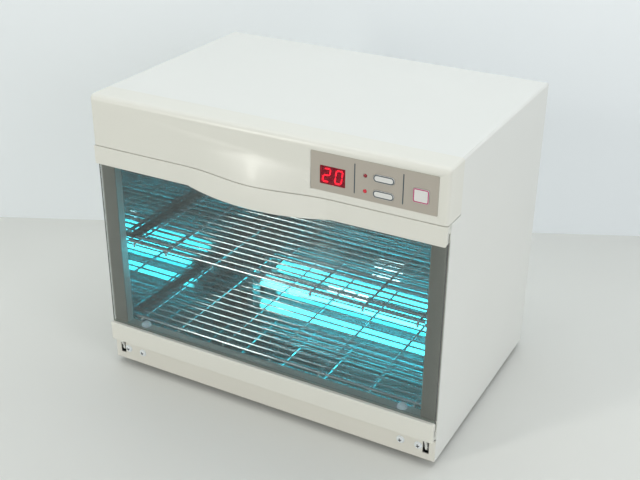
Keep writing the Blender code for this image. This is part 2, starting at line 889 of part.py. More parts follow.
def make_fascia():
    shape = bmesh.new()
    bottom = fascia_bottom
    low = (left_face, front_plane, bottom)
    high = (right_face, front_plane + fascia_return, top_z)
    put_box(shape, low, high)
    open_sides = [face for face in shape.faces if face.normal.y > 0.9 or face.normal.z < -0.9]
    bmesh.ops.delete(shape, geom=open_sides, context="FACES")

    def corner_weight(edge, middle):
        if len(edge.link_faces) != 2:
            return 0.0
        if edge_runs_along(edge, 2):
            return fascia_corner_radius / fascia_top_radius
        if edge_runs_along(edge, 1):
            return cover_bend_radius / fascia_top_radius
        return 1.0

    weigh_edges(shape, corner_weight)
    slice_for_nose(shape, bottom, nose_top, nose_half_width, nose_level_count)
    slice_shape(shape, (0.0, 0.0, nose_top), (0.0, 0.0, 1.0))
    clear_slice_weights(shape)
    push_nose_out(shape, front_plane)
    fascia = add_part("fascia", finish_mesh(shape, "fascia"), cream_plastic, smooth=True)
    weighted_bevel(fascia, fascia_top_radius)
    wall(fascia, fascia_wall)

    recess_reach = panel_plate_thickness + seat_gap + nose_depth + cut_overrun
    plate = rounded_plate_mesh(
        "panel_recess", panel_width + 2 * seat_gap, panel_height + 2 * seat_gap,
        recess_reach, panel_corner_radius, 1)
    cut(fascia, "panel_recess", plate, panel_centre(recess_floor - recess_reach / 2))
    panel_holes("fascia_hole", fascia, -window_ledge)

    bosses = []
    for x in (panel_left + boss_offset, board_right() - boss_inset):
        for z in (board_bottom() + boss_inset, board_top() - boss_inset):
            bosses.append((
                (x, fascia_inner - fascia_wall / 4, z),
                (x, board_front - seat_gap, z),
                boss_radius,
            ))
    fuse(fascia, "board_bosses", cylinders_mesh("board_bosses", bosses))
    return fascia


def clear_slice_weights(shape):
    # Only edges on a corner of the box keep their rounding: slices across flat faces get none.
    layer = shape.edges.layers.float.get("bevel_weight_edge")
    for edge in shape.edges:
        if len(edge.link_faces) != 2 or edge.calc_face_angle(0.0) < math.radians(45):
            edge[layer] = 0.0


def panel_centre(y):
    return (panel_left + panel_width / 2, y, panel_bottom + panel_height / 2)


def board_left():
    return panel_left - board_margin


def board_right():
    return panel_left + panel_width + board_margin


def board_bottom():
    return panel_bottom - board_margin / 2


def board_top():
    return panel_bottom + panel_height + board_margin / 2


def make_control_panel():
    mesh = rounded_plate_mesh(
        "control_panel_plate", panel_width, panel_height, panel_plate_thickness, panel_corner_radius, 1)
    centre_y = front_plane + panel_plate_thickness / 2
    plate = add_part("control_panel_plate", mesh, panel_film, panel_centre(centre_y))
    panel_holes("plate_hole", plate, seat_gap)

    window_x = panel_left + window_across
    window_z = panel_bottom + window_up
    low = (window_x - window_width / 2, front_plane - window_proud, window_z - window_height / 2)
    high = (window_x + window_width / 2, front_plane - window_proud + window_thickness,
            window_z + window_height / 2)
    box_part("display_window", low, high, display_filter)

    lens = [(0.0, led_proud)]
    for i in range(1, fillet_segments + 1):
        angle = math.pi / 2 * i / fillet_segments
        lens.append((led_radius * math.sin(angle), led_proud * math.cos(angle)))
    lens.append((led_radius, -led_body_length))
    lens.append((led_stem_radius, -led_body_length))
    lens.append((led_stem_radius, seat_gap - board_setback))
    lens.append((0.0, seat_gap - board_setback))
    face_forward = (math.pi / 2, 0.0, 0.0)
    for level, up in (("upper", mode_key_upper_up), ("lower", mode_key_lower_up)):
        turned_part(f"mode_led_{level}", lens, led_red,
                    (panel_left + led_across, front_plane, panel_bottom + up),
                    face_forward, steps=16)


def make_keys():
    flange_front = fascia_inner + seat_gap
    for name, across, up, width, height, radius in key_places():
        x = panel_left + across
        z = panel_bottom + up
        cap_front = front_plane - key_proud
        cap_depth = flange_front + key_flange_thickness / 2 - cap_front
        centre = (x, cap_front + cap_depth / 2, z)
        mesh = rounded_plate_mesh(name, width, height, cap_depth, radius)
        key = add_part(name, mesh, key_white, centre)
        lip = key_clearance + key_flange_lip
        flange = rounded_plate_mesh(
            f"{name}_flange", width + 2 * lip, height + 2 * lip, key_flange_thickness, radius)
        fuse(key, f"{name}_flange", flange, (x, flange_front + key_flange_thickness / 2, z))
        stem_start = flange_front + key_flange_thickness / 2
        stem_end = flange_front + key_flange_thickness + key_stem_length
        stem = [((x, stem_start, z), (x, stem_end, z), key_stem_radius)]
        fuse(key, f"{name}_stem", cylinders_mesh(f"{name}_stem", stem))


def make_control_board():
    low = (board_left(), board_front, board_bottom())
    high = (board_right(), board_front + board_thickness, board_top())
    box_part("control_board", low, high, board_green)

    module_front = fascia_inner + display_module_gap
    window_x = panel_left + window_across
    window_z = panel_bottom + window_up
    low = (window_x - display_module_width / 2, module_front, window_z - display_module_height / 2)
    high = (window_x + display_module_width / 2, board_front - seat_gap,
            window_z + display_module_height / 2)
    box_part("display_module", low, high, black_plastic)

    key_back = fascia_inner + seat_gap + key_flange_thickness + key_stem_length
    button_front = key_back + switch_key_gap
    switch_back = board_front - seat_gap
    for name, across, up, width, height, radius in key_places():
        x = panel_left + across
        z = panel_bottom + up
        low = (x - switch_size / 2, switch_back - switch_body_height, z - switch_size / 2)
        high = (x + switch_size / 2, switch_back, z + switch_size / 2)
        switch = box_part(f"{name}_switch", low, high, black_plastic)
        button = [((x, button_front, z), (x, switch_back - switch_body_height / 2, z), switch_button_radius)]
        fuse(switch, f"{name}_button", cylinders_mesh(f"{name}_button", button))


# Space over the chamber and the frame's head

def make_ballast():
    x = ballast_x
    y = front_plane + ballast_setback
    floor_z = chamber_top + liner_sheet + seat_gap
    half_length = ballast_length / 2
    low = (x - half_length, y - ballast_width / 2, floor_z)
    high = (x + half_length, y + ballast_width / 2, floor_z + ballast_height)
    ballast = box_part("ballast", low, high, zinc_steel)
    ears = [(
        (x - half_length - ballast_ear, y - ballast_width / 2, floor_z),
        (x + half_length + ballast_ear, y + ballast_width / 2, floor_z + ballast_ear_thickness),
    )]
    fuse(ballast, "ballast_ears", boxes_mesh("ballast_ears", ears))
    holes = []
    for hole_x in (x - half_length - ballast_ear / 2, x + half_length + ballast_ear / 2):
        holes.append((
            (hole_x, y, floor_z - cut_overrun),
            (hole_x, y, floor_z + ballast_ear_thickness + cut_overrun),
            screw_shank_radius,
        ))
    cut(ballast, "ballast_holes", cylinders_mesh("ballast_holes", holes))


def make_catches():
    z = catch_z
    for side, x in (("left", -catch_x), ("right", catch_x)):
        low = (x - catch_width / 2, frame_front, z - catch_height / 2)
        high = (x + catch_width / 2, frame_front + catch_depth, z + catch_height / 2)
        catch = box_part(f"magnet_catch_{side}", low, high, black_plastic)
        flange = [(
            (x - catch_width / 2 - sheet, frame_back + seat_gap, z - catch_height / 2 - sheet / 2),
            (x + catch_width / 2 + sheet, frame_back + seat_gap + sheet, z + catch_height / 2 + sheet),
        )]
        fuse(catch, f"catch_flange_{side}", boxes_mesh(f"catch_flange_{side}", flange))


def make_door_sensor():
    z = catch_z
    low = (sensor_x - sensor_width / 2, frame_back + seat_gap, z - sensor_height / 2)
    high = (sensor_x + sensor_width / 2, frame_back + seat_gap + sensor_depth, z + sensor_height / 2)
    box_part("door_sensor", low, high, black_plastic)


# Skirt and hinges

def make_base_skirt():
    front = front_plane + skirt_setback
    back = front + skirt_sheet
    bottom = base_z + skirt_bottom_rise
    top = base_z + skirt_top_rise
    skirt = box_part("base_skirt", (left_face, front, bottom), (right_face, back, top), painted_steel)
    returns = [(
        (-inner_half_width + sheet + seat_gap, back - skirt_sheet / 2, bottom),
        (inner_half_width - sheet - seat_gap, back + skirt_return_depth, bottom + skirt_sheet),
    )]
    for x in (left_face, right_face - skirt_sheet):
        returns.append(((x, back - skirt_sheet / 2, bottom), (x + skirt_sheet, door_back, top)))
    fuse(skirt, "skirt_returns", boxes_mesh("skirt_returns", returns))
    slots = []
    for x in (-tongue_x, tongue_x):
        slots.append((
            (x - slot_width / 2, front - cut_overrun, base_z + slot_bottom_rise),
            (x + slot_width / 2, back + cut_overrun, top + cut_overrun),
        ))
    cut(skirt, "skirt_slots", boxes_mesh("skirt_slots", slots))
    holes = []
    for x in (-screw_outer_x, -screw_inner_x, screw_inner_x, screw_outer_x):
        z = base_z + screw_rise
        holes.append(((x, front - cut_overrun, z), (x, back + cut_overrun, z),
                      screw_shank_radius + seat_gap))
    cut(skirt, "skirt_screw_holes", cylinders_mesh("skirt_screw_holes", holes))


def make_hinges():
    plate_front = front_plane + skirt_setback + skirt_sheet + seat_gap
    low_z = base_z + skirt_bottom_rise + skirt_sheet + seat_gap
    high_z = low_z + bracket_height
    half_space = tongue_thickness / 2 + bracket_ear_gap
    for side, sign in (("left", -1), ("right", 1)):
        inner_ear = tongue_x - half_space
        outer_ear = tongue_x + half_space
        runs = [
            ((bracket_inner_x, plate_front, low_z), (inner_ear, plate_front + bracket_sheet, high_z)),
            ((inner_ear - bracket_sheet, plate_front, low_z),
             (inner_ear, plate_front + bracket_ear_depth, high_z)),
            ((inner_ear - bracket_sheet, plate_front, low_z),
             (outer_ear + bracket_sheet, plate_front + bracket_ear_depth, low_z + bracket_sheet)),
            ((outer_ear, plate_front, low_z),
             (outer_ear + bracket_sheet, plate_front + bracket_ear_depth, high_z)),
        ]
        runs = [mirror_run(low, high, sign) for low, high in runs]
        bracket = add_part(f"hinge_bracket_{side}", boxes_mesh(f"hinge_bracket_{side}", runs[:1]), zinc_steel)
        for i, run in enumerate(runs[1:]):
            name = f"bracket_fold_{side}_{i}"
            fuse(bracket, name, boxes_mesh(name, [run]))
        pin_start = sign * (inner_ear - bracket_sheet - seat_gap)
        pin_end = sign * (outer_ear + bracket_sheet + seat_gap)
        overrun = sign * sheet
        bore = [((pin_start - overrun, pivot_y, pivot_z), (pin_end + overrun, pivot_y, pivot_z),
                 pivot_pin_radius + seat_gap)]
        cut(bracket, f"bracket_bore_{side}", cylinders_mesh(f"bracket_bore_{side}", bore))
        holes = []
        for x in (screw_outer_x, screw_inner_x):
            z = base_z + screw_rise
            holes.append(((sign * x, plate_front - cut_overrun, z),
                          (sign * x, plate_front + bracket_sheet + cut_overrun, z),
                          screw_shank_radius + seat_gap))
        cut(bracket, f"bracket_holes_{side}", cylinders_mesh(f"bracket_holes_{side}", holes))
        half_pin = abs(pin_end - pin_start) / 2
        head = pivot_pin_radius + sheet / 2
        pin_profile = [
            (0.0, half_pin + sheet),
            (head, half_pin + sheet),
            (head, half_pin),
            (pivot_pin_radius, half_pin),
            (pivot_pin_radius, -half_pin),
            (0.0, -half_pin),
        ]
        turned_part(f"hinge_pin_{side}", pin_profile, zinc_steel,
                    ((pin_start + pin_end) / 2, pivot_y, pivot_z), (0.0, sign * math.pi / 2, 0.0), steps=16)
        for place, x in (("outer", screw_outer_x), ("inner", screw_inner_x)):
            make_skirt_screw(f"skirt_screw_{side}_{place}", sign * x)


def mirror_run(low, high, sign):
    if sign > 0:
        return low, high
    return (-high[0], low[1], low[2]), (-low[0], high[1], high[2])


def make_skirt_screw(name, x):
    # A pan head: its rim rises straight and its crown is domed.
    rim = screw_head_height / 3
    profile = [(0.0, screw_head_height)]
    for i in range(1, fillet_segments + 1):
        angle = math.pi / 2 * i / fillet_segments
        profile.append((
            screw_head_radius * math.sin(angle),
            rim + (screw_head_height - rim) * math.cos(angle),
        ))
    profile.append((screw_head_radius, 0.0))
    profile.append((screw_shank_radius, 0.0))
    profile.append((screw_shank_radius, -screw_shank_length))
    profile.append((0.0, -screw_shank_length))
    seat = front_plane + skirt_setback - seat_gap
    turned_part(name, profile, white_screw, (x, seat, base_z + screw_rise),
                (math.pi / 2, 0.0, 0.0), steps=16)


# Door

def rail_shape(low, high, corner_radius, nose):
    # A bar with rounded edges whose two lower corners are rounder, as seen from the front.
    shape = bmesh.new()
    put_box(shape, low, high)

    def edge_weight(edge, middle):
        at_front = abs(middle.y - low[1]) < merge_distance
        at_bottom = abs(middle.z - low[2]) < merge_distance
        if edge_runs_along(edge, 1):
            return 1.0 if at_bottom else rail_edge_radius / corner_radius
        return rail_edge_radius / corner_radius if at_front else 0.0

    weigh_edges(shape, edge_weight)
    if nose:
        slice_for_nose(shape, low[2], high[2], nose_half_width, nose_level_count)
        clear_slice_weights(shape)
        push_nose_out(shape, low[1])
    return shape


def make_door():
    pivot = add_pivot("door_pivot", (0.0, pivot_y, pivot_z))
    low = (left_face, front_plane, rail_bottom)
    high = (right_face, door_back, rail_bottom + top_rail_height)
    shape = rail_shape(low, high, top_rail_corner_radius, True)
    top_rail = add_part("door_top_rail", finish_mesh(shape, "door_top_rail"), cream_plastic, smooth=True)
    weighted_bevel(top_rail, top_rail_corner_radius)

    lower_bottom = base_z + door_bottom_rise
    low = (left_face, front_plane, lower_bottom)
    high = (right_face, door_back, lower_bottom + bottom_rail_height)
    shape = rail_shape(low, high, bottom_rail_corner_radius, False)
    bottom_rail = add_part("door_bottom_rail", finish_mesh(shape, "door_bottom_rail"), cream_plastic,
                           smooth=True)
    weighted_bevel(bottom_rail, bottom_rail_corner_radius)

    sheet_front = front_plane + acrylic_setback
    sheet_back = sheet_front + acrylic_thickness
    sheet_bottom = lower_bottom + bottom_rail_height - acrylic_rail_hold
    sheet_top = rail_bottom + acrylic_rail_hold
    half_width = body_width / 2 - acrylic_side_inset
    panel = box_part("door_panel", (-half_width, sheet_front, sheet_bottom),
                     (half_width, sheet_back, sheet_top), tinted_acrylic)

    groove_ends = (left_face - cut_overrun, right_face + cut_overrun)
    groove = [(
        (groove_ends[0], sheet_front - seat_gap, rail_bottom - cut_overrun),
        (groove_ends[1], sheet_back + seat_gap, sheet_top + seat_gap),
    )]
    cut(top_rail, "top_groove", boxes_mesh("top_groove", groove))
    groove = [(
        (groove_ends[0], sheet_front - seat_gap, sheet_bottom - seat_gap),
        (groove_ends[1], sheet_back + seat_gap, lower_bottom + bottom_rail_height + cut_overrun),
    )]
    cut(bottom_rail, "bottom_groove", boxes_mesh("bottom_groove", groove))
    cut(top_rail, "finger_recess", finger_recess_mesh(sheet_front))

    pieces = [top_rail, bottom_rail, panel]
    pieces += make_strikes(top_rail)
    pieces += make_tongues(bottom_rail, lower_bottom)
    for piece in pieces:
        attach(piece, pivot)


def finger_recess_mesh(sheet_front):
    # A hollow behind the nose, open below, where fingers hook in to pull the door.
    shape = bmesh.new()
    low = (-finger_recess_half_width, front_plane, rail_bottom - nose_dip - cut_overrun)
    high = (finger_recess_half_width, sheet_front - seat_gap - nose_wall / 2,
            rail_bottom + finger_recess_height)
    put_box(shape, low, high)
    slice_for_nose(shape, low[2], high[2], finger_recess_half_width - merge_distance, nose_level_count // 2)
    push_nose_out(shape, front_plane, shrink=nose_wall)
    return finish_mesh(shape, "finger_recess")


def make_strikes(top_rail):
    # Steel plates let into the back of the rail, where the magnets reach them.
    z = catch_z
    strikes = []
    for side, x in (("left", -catch_x), ("right", catch_x)):
        low = (x - strike_width / 2, door_back - strike_thickness, z - catch_height / 2)
        high = (x + strike_width / 2, door_back, z + catch_height / 2)
        strikes.append(box_part(f"strike_plate_{side}", low, high, zinc_steel))
        pocket = [(
            (low[0] - seat_gap, low[1] - seat_gap, low[2] - seat_gap),
            (high[0] + seat_gap, high[1] + cut_overrun, high[2] + seat_gap),
        )]
        cut(top_rail, f"strike_pocket_{side}", boxes_mesh(f"strike_pocket_{side}", pocket))
    return strikes


def make_tongues(bottom_rail, lower_edge):
    # Each tongue hangs from the rail through the skirt's slot and turns on the hinge pin.
    tongues = []
    arm_y = front_plane + door_thickness / 2 + tongue_arm_width / 4
    for side, x in (("left", -tongue_x), ("right", tongue_x)):
        name = f"hinge_tongue_{side}"
        half = tongue_thickness / 2
        eye = [((x - half, pivot_y, pivot_z), (x + half, pivot_y, pivot_z), tongue_eye_radius)]
        tongue = add_part(name, cylinders_mesh(name, eye, round_segments), zinc_steel)
        shape = bmesh.new()
        foot = Vector((x, pivot_y, pivot_z))
        head = Vector((x, arm_y, lower_edge - tongue_arm_width / 4))
        run = head - foot
        lean = math.atan2(-run.y, run.z)
        arm_size = Vector((tongue_thickness, tongue_arm_width, run.length))
        turn = Matrix.Rotation(lean, 3, "X").to_quaternion()
        bmesh.ops.create_cube(shape, size=1.0, matrix=Matrix.LocRotScale((foot + head) / 2, turn, arm_size))
        fuse(tongue, f"{name}_arm", finish_mesh(shape, f"{name}_arm"))
        tab = [(
            (x - half, arm_y - tongue_arm_width / 2, lower_edge - tongue_insert / 4),
            (x + half, arm_y + tongue_arm_width / 2, lower_edge + tongue_insert),
        )]
        fuse(tongue, f"{name}_tab", boxes_mesh(f"{name}_tab", tab))
        hole = [((x - half - cut_overrun, pivot_y, pivot_z), (x + half + cut_overrun, pivot_y, pivot_z),
                 pivot_pin_radius + running_clearance)]
        cut(tongue, f"{name}_eye", cylinders_mesh(f"{name}_eye", hole, round_segments))
        pocket = [(
            (tab[0][0][0] - seat_gap, tab[0][0][1] - seat_gap, lower_edge - cut_overrun),
            (tab[0][1][0] + seat_gap, tab[0][1][1] + seat_gap, tab[0][1][2] + seat_gap),
        )]
        cut(bottom_rail, f"tongue_pocket_{side}", boxes_mesh(f"tongue_pocket_{side}", pocket))
        tongues.append(tongue)
    return tongues


# Assembly

make_outer_cover()
make_rear_panel()
make_base_pan()
make_power_inlet()
make_feet()
make_front_frame()
make_sill_bumpers()
make_chamber_liner()
make_rack_ledges()
make_rack("upper_rack", upper_rack_rise, upper_rack_setback, upper_hook_drop, upper_bar_shift)
make_rack("lower_rack", lower_rack_rise, rack_front_setback, lower_hook_drop, lower_bar_shift)
make_lamp()
make_fascia()
make_control_panel()
make_keys()
make_control_board()
make_ballast()
make_catches()
make_door_sensor()
make_base_skirt()
make_hinges()
make_door()
bpy.context.view_layer.update()
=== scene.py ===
# %% [markdown]
# Ultraviolet sterilizer, dressed for a picture.
# The object is a cream steel cabinet with a drop-down acrylic door. Behind the door are a
# mirror-steel chamber, two wire racks and one glowing lamp. Over the door is a small keypad.
# The solid parts come from a CAD model, which stays as it is. This script gives every part its
# finish and rebuilds the few parts whose fine form shows: smooth skins, racks, bumpers and
# screws. It adds printed lines and lit figures, and sets up the studio and the camera.

# %% Load the solid parts
import math

import bmesh
import bpy
from mathutils import Matrix, Quaternion, Vector


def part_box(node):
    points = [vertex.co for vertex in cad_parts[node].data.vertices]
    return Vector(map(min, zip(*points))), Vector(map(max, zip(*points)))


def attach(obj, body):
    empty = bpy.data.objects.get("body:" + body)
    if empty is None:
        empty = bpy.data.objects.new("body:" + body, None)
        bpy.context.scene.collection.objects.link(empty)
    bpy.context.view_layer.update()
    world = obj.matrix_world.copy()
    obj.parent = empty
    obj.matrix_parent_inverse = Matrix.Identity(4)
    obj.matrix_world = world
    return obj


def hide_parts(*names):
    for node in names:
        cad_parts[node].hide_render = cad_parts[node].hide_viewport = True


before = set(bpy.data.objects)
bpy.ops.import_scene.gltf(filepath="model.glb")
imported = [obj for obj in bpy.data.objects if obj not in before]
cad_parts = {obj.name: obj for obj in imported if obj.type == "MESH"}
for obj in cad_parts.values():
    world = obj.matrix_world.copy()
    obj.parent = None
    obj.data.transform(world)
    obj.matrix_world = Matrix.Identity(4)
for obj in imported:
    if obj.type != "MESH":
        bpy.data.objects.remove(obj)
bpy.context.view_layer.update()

# %% [markdown]
# The camera stands where the photographer stood: to the right of the middle, above the top of
# the cabinet, looking down at it. It could be moved by eye until the picture looks right, but
# only a fit brings every edge to its place at once. So its place, heading and small roll were
# found by fitting the straight edges of the cabinet in the photograph. The lens follows from the
# same fit: a focal length in pixels turns into millimetres through the width of the sensor.

# %% Camera
photo_width_px = 640
photo_focal_px = 1035.3
sensor_width_mm = 36.0
camera_place = Vector((0.5416, -0.99895, 0.7453))
camera_heading = Vector((-0.4246, 0.7844, -0.4521))
camera_roll = 0.0091


def make_camera():
    lens = bpy.data.cameras.new("photo_camera")
    lens.sensor_width = sensor_width_mm
    lens.lens = photo_focal_px / photo_width_px * sensor_width_mm
    camera = bpy.data.objects.new("photo_camera", lens)
    bpy.context.scene.collection.objects.link(camera)
    camera.rotation_mode = "QUATERNION"
    camera.location = camera_place
    level = camera_heading.to_track_quat("-Z", "Y")
    camera.rotation_quaternion = level @ Quaternion((0, 0, 1), camera_roll)
    bpy.context.scene.camera = camera
    print("lens:", round(lens.lens, 2), "mm")


make_camera()

# %% [markdown]
# Every material is a small graph of nodes. It could be put together by hand in the Shader
# Editor, but as code it can be made again with other numbers. The first helpers add one node
# with its settings and plug a value into a socket. The others start a material with its
# Principled shader, start a node group, and place a group in a material. Places are given in
# columns and rows, so that a graph can be read on screen.

# %% Helpers that add one node
column_width = 230
row_height = 230


def add_node(tree, kind, column, row, settings=None):
    node = tree.nodes.new(kind)
    node.location = (column * column_width, -row * row_height)
    for socket, value in (settings or {}).items():
        node.inputs[socket].default_value = value
    return node


def math_node(tree, operation, column, row, first=None, second=None, clamp=False):
    node = add_node(tree, "ShaderNodeMath", column, row)
    node.operation = operation
    node.use_clamp = clamp
    for socket, value in zip(node.inputs, (first, second)):
        plug(tree, value, socket)
    return node.outputs["Value"]


def mix_colours(tree, column, row, amount, first, second, blend="MIX"):
    node = add_node(tree, "ShaderNodeMix", column, row)
    node.data_type = "RGBA"
    node.blend_type = blend
    sockets = [s for s in node.inputs if s.type == "RGBA"]
    plug(tree, amount, node.inputs["Factor"])
    plug(tree, first, sockets[0])
    plug(tree, second, sockets[1])
    return [s for s in node.outputs if s.type == "RGBA"][0]


def spread_value(tree, column, row, value, from_low, from_high, to_low, to_high):
    node = add_node(tree, "ShaderNodeMapRange", column, row)
    node.clamp = True
    for socket, number in zip(node.inputs, (value, from_low, from_high, to_low, to_high)):
        plug(tree, number, socket)
    return node.outputs["Result"]


def plug(tree, value, socket):
    # A value is another node's socket, a plain number or a colour.
    if value is None:
        return
    if isinstance(value, bpy.types.NodeSocket):
        tree.links.new(value, socket)
    else:
        socket.default_value = value


# %% Helpers that start a material or a group
def start_material(name, settings):
    made = bpy.data.materials.new(name)
    made.use_nodes = True
    tree = made.node_tree
    shader = tree.nodes["Principled BSDF"]
    shader.location = (0, 0)
    tree.nodes["Material Output"].location = (2 * column_width, 0)
    for socket, value in settings.items():
        shader.inputs[socket].default_value = value
    return made, tree, shader


def start_group(name, inputs, outputs):
    group = bpy.data.node_groups.new(name, "ShaderNodeTree")
    for label, kind, value in inputs:
        socket = group.interface.new_socket(name=label, in_out="INPUT", socket_type=kind)
        socket.default_value = value
    for label, kind in outputs:
        group.interface.new_socket(name=label, in_out="OUTPUT", socket_type=kind)
    entry = add_node(group, "NodeGroupInput", -5, 0)
    leave = add_node(group, "NodeGroupOutput", 2, 0)
    return group, entry.outputs, leave.inputs


def place_group(tree, group, column, row, settings):
    node = add_node(tree, "ShaderNodeGroup", column, row)
    node.node_tree = group
    for socket, value in settings.items():
        plug(tree, value, node.inputs[socket])
    return node.outputs


# %% [markdown]
# Paint, moulded plastic and rubber all have a skin that isn't quite flat. Powder paint flows
# into a faint orange peel, a moulded face copies the fine texture of its tool. To move the mesh
# itself would take millions of faces. A noise that feeds a Bump node bends only the light, and
# one group serves all these skins: only the size of the grain and its depth differ.

# %% Group: grain of a skin
grain_depth = 0.00002
fine_grain_depth = 0.00001
grain_group, grain_in, grain_out = start_group(
    "skin_grain",
    [("Grains per metre", "NodeSocketFloat", 600.0), ("Depth", "NodeSocketFloat", grain_depth)],
    [("Normal", "NodeSocketVector")],
)
grain_place = add_node(grain_group, "ShaderNodeTexCoord", -5, 1)
grain_noise = add_node(grain_group, "ShaderNodeTexNoise", -3, 0, {"Detail": 3.0, "Roughness": 0.55})
grain_bump = add_node(grain_group, "ShaderNodeBump", 0, 0, {"Strength": 1.0})
plug(grain_group, grain_place.outputs["Object"], grain_noise.inputs["Vector"])
plug(grain_group, grain_in["Grains per metre"], grain_noise.inputs["Scale"])
plug(grain_group, grain_in["Depth"], grain_bump.inputs["Distance"])
plug(grain_group, grain_noise.outputs["Fac"], grain_bump.inputs["Height"])
plug(grain_group, grain_bump.outputs["Normal"], grain_out["Normal"])
print("group:", grain_group.name)

# %% [markdown]
# Large faces are never one flat tone: paint is thicker here and thinner there, hands leave a
# film. Such tones could be painted on each mesh by hand. A slow noise needs no painting and
# fits every part: it gives a value round one that the colour is multiplied by.

# %% Group: slow change of tone
noise_middle = 0.5
noise_span = 2.0
slow_patches_per_metre = 9.0
faint_tone = 0.02
tone_group, tone_in, tone_out = start_group(
    "slow_tone",
    [
        ("Color", "NodeSocketColor", (0.8, 0.8, 0.8, 1.0)),
        ("Patches per metre", "NodeSocketFloat", slow_patches_per_metre),
        ("Strength", "NodeSocketFloat", 0.04),
        ("Roughness", "NodeSocketFloat", 0.4),
    ],
    [("Color", "NodeSocketColor"), ("Roughness", "NodeSocketFloat")],
)
tone_place = add_node(tone_group, "ShaderNodeTexCoord", -5, 1)
tone_noise = add_node(tone_group, "ShaderNodeTexNoise", -3, 0, {"Detail": 4.0, "Roughness": 0.6})
plug(tone_group, tone_place.outputs["Object"], tone_noise.inputs["Vector"])
plug(tone_group, tone_in["Patches per metre"], tone_noise.inputs["Scale"])
tone_offset = math_node(tone_group, "SUBTRACT", -2, 0, tone_noise.outputs["Fac"], noise_middle)
tone_swing = math_node(tone_group, "MULTIPLY", -1, 0, tone_offset, tone_in["Strength"])
tone_swing = math_node(tone_group, "MULTIPLY", -1, 1, tone_swing, noise_span)
tone_gain = math_node(tone_group, "ADD", 0, 0, tone_swing, 1.0)
tone_grey = add_node(tone_group, "ShaderNodeCombineColor", 0, 1)
for channel in ("Red", "Green", "Blue"):
    plug(tone_group, tone_gain, tone_grey.inputs[channel])
tone_colour = mix_colours(tone_group, 1, 0, 1.0, tone_in["Color"], tone_grey.outputs["Color"], "MULTIPLY")
tone_roughness = math_node(tone_group, "ADD", 1, 1, tone_in["Roughness"], tone_swing, clamp=True)
plug(tone_group, tone_colour, tone_out["Color"])
plug(tone_group, tone_roughness, tone_out["Roughness"])
print("group:", tone_group.name)

# %% [markdown]
# Edges catch hands, cloths and knocks. Geometry's Pointiness finds edges too, but only on a mesh
# with many points, and these have few. So the Bevel node is used: it gives the normal that a
# slightly rounder edge would have. Where it differs from the true normal there is an edge, and
# that difference, broken up by a noise, is the mask for a worn or polished tone.

# %% Group: wear along edges
edge_wear_width = 0.0008
edge_begins_at = 0.995
edge_is_full_at = 0.86
patch_begins_at = 0.42
patch_is_full_at = 0.62
patch_least = 0.25
wear_patches_per_metre = 220.0
bevel_samples = 4
wear_group, wear_in, wear_out = start_group(
    "edge_wear",
    [
        ("Color", "NodeSocketColor", (0.8, 0.8, 0.8, 1.0)),
        ("Worn Color", "NodeSocketColor", (0.9, 0.9, 0.9, 1.0)),
        ("Width", "NodeSocketFloat", edge_wear_width),
        ("Strength", "NodeSocketFloat", 0.5),
    ],
    [("Color", "NodeSocketColor")],
)
wear_bevel = add_node(wear_group, "ShaderNodeBevel", -4, 1)
wear_bevel.samples = bevel_samples
wear_surface = add_node(wear_group, "ShaderNodeNewGeometry", -4, 2)
wear_place = add_node(wear_group, "ShaderNodeTexCoord", -5, 3)
wear_noise = add_node(wear_group, "ShaderNodeTexNoise", -4, 3, {
    "Scale": wear_patches_per_metre, "Detail": 3.0})
wear_angle = add_node(wear_group, "ShaderNodeVectorMath", -3, 1)
wear_angle.operation = "DOT_PRODUCT"
plug(wear_group, wear_in["Width"], wear_bevel.inputs["Radius"])
plug(wear_group, wear_bevel.outputs["Normal"], wear_angle.inputs[0])
plug(wear_group, wear_surface.outputs["Normal"], wear_angle.inputs[1])
plug(wear_group, wear_place.outputs["Object"], wear_noise.inputs["Vector"])
wear_edge = spread_value(
    wear_group, -2, 1, wear_angle.outputs["Value"], edge_begins_at, edge_is_full_at, 0.0, 1.0)
wear_patch = spread_value(
    wear_group, -2, 2, wear_noise.outputs["Fac"], patch_begins_at, patch_is_full_at, patch_least, 1.0)
wear_mask = math_node(wear_group, "MULTIPLY", -1, 1, wear_edge, wear_patch)
wear_mask = math_node(wear_group, "MULTIPLY", 0, 1, wear_mask, wear_in["Strength"], clamp=True)
wear_colour = mix_colours(wear_group, 1, 0, wear_mask, wear_in["Color"], wear_in["Worn Color"])
plug(wear_group, wear_colour, wear_out["Color"])
print("group:", wear_group.name)

# %% [markdown]
# Nearly all finishes of this object are one recipe: tone, then edge wear, then grain. Each
# material could be wired on its own, but then a better idea would have to be wired many times.
# The function below wires the three groups into a material's own Principled shader. Numbers that
# are the same all over the surface, such as the coat, stay on the shader's own sockets.


# %% Recipe for a plain skin
def skin_material(name, colour, worn, roughness, grains, depth=grain_depth, tone=0.03, wear=0.4,
                  wear_width=edge_wear_width, patches=slow_patches_per_metre, settings=None):
    made, tree, shader = start_material(name, {"Roughness": roughness, **(settings or {})})
    toned = place_group(tree, tone_group, -3, 0, {
        "Color": (*colour, 1.0), "Patches per metre": patches, "Strength": tone, "Roughness": roughness})
    worn_out = place_group(tree, wear_group, -2, 0, {
        "Color": toned["Color"], "Worn Color": (*worn, 1.0), "Width": wear_width, "Strength": wear})
    grain = place_group(tree, grain_group, -2, 1, {"Grains per metre": grains, "Depth": depth})
    plug(tree, worn_out["Color"], shader.inputs["Base Color"])
    plug(tree, toned["Roughness"], shader.inputs["Roughness"])
    plug(tree, grain["Normal"], shader.inputs["Normal"])
    return made


def dress(material, *nodes):
    # Every slot of a CAD node's mesh takes the new finish.
    for name in nodes:
        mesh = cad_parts[name].data
        for i in range(len(mesh.materials)):
            mesh.materials[i] = material
        print("dressed", name, "in", material.name)


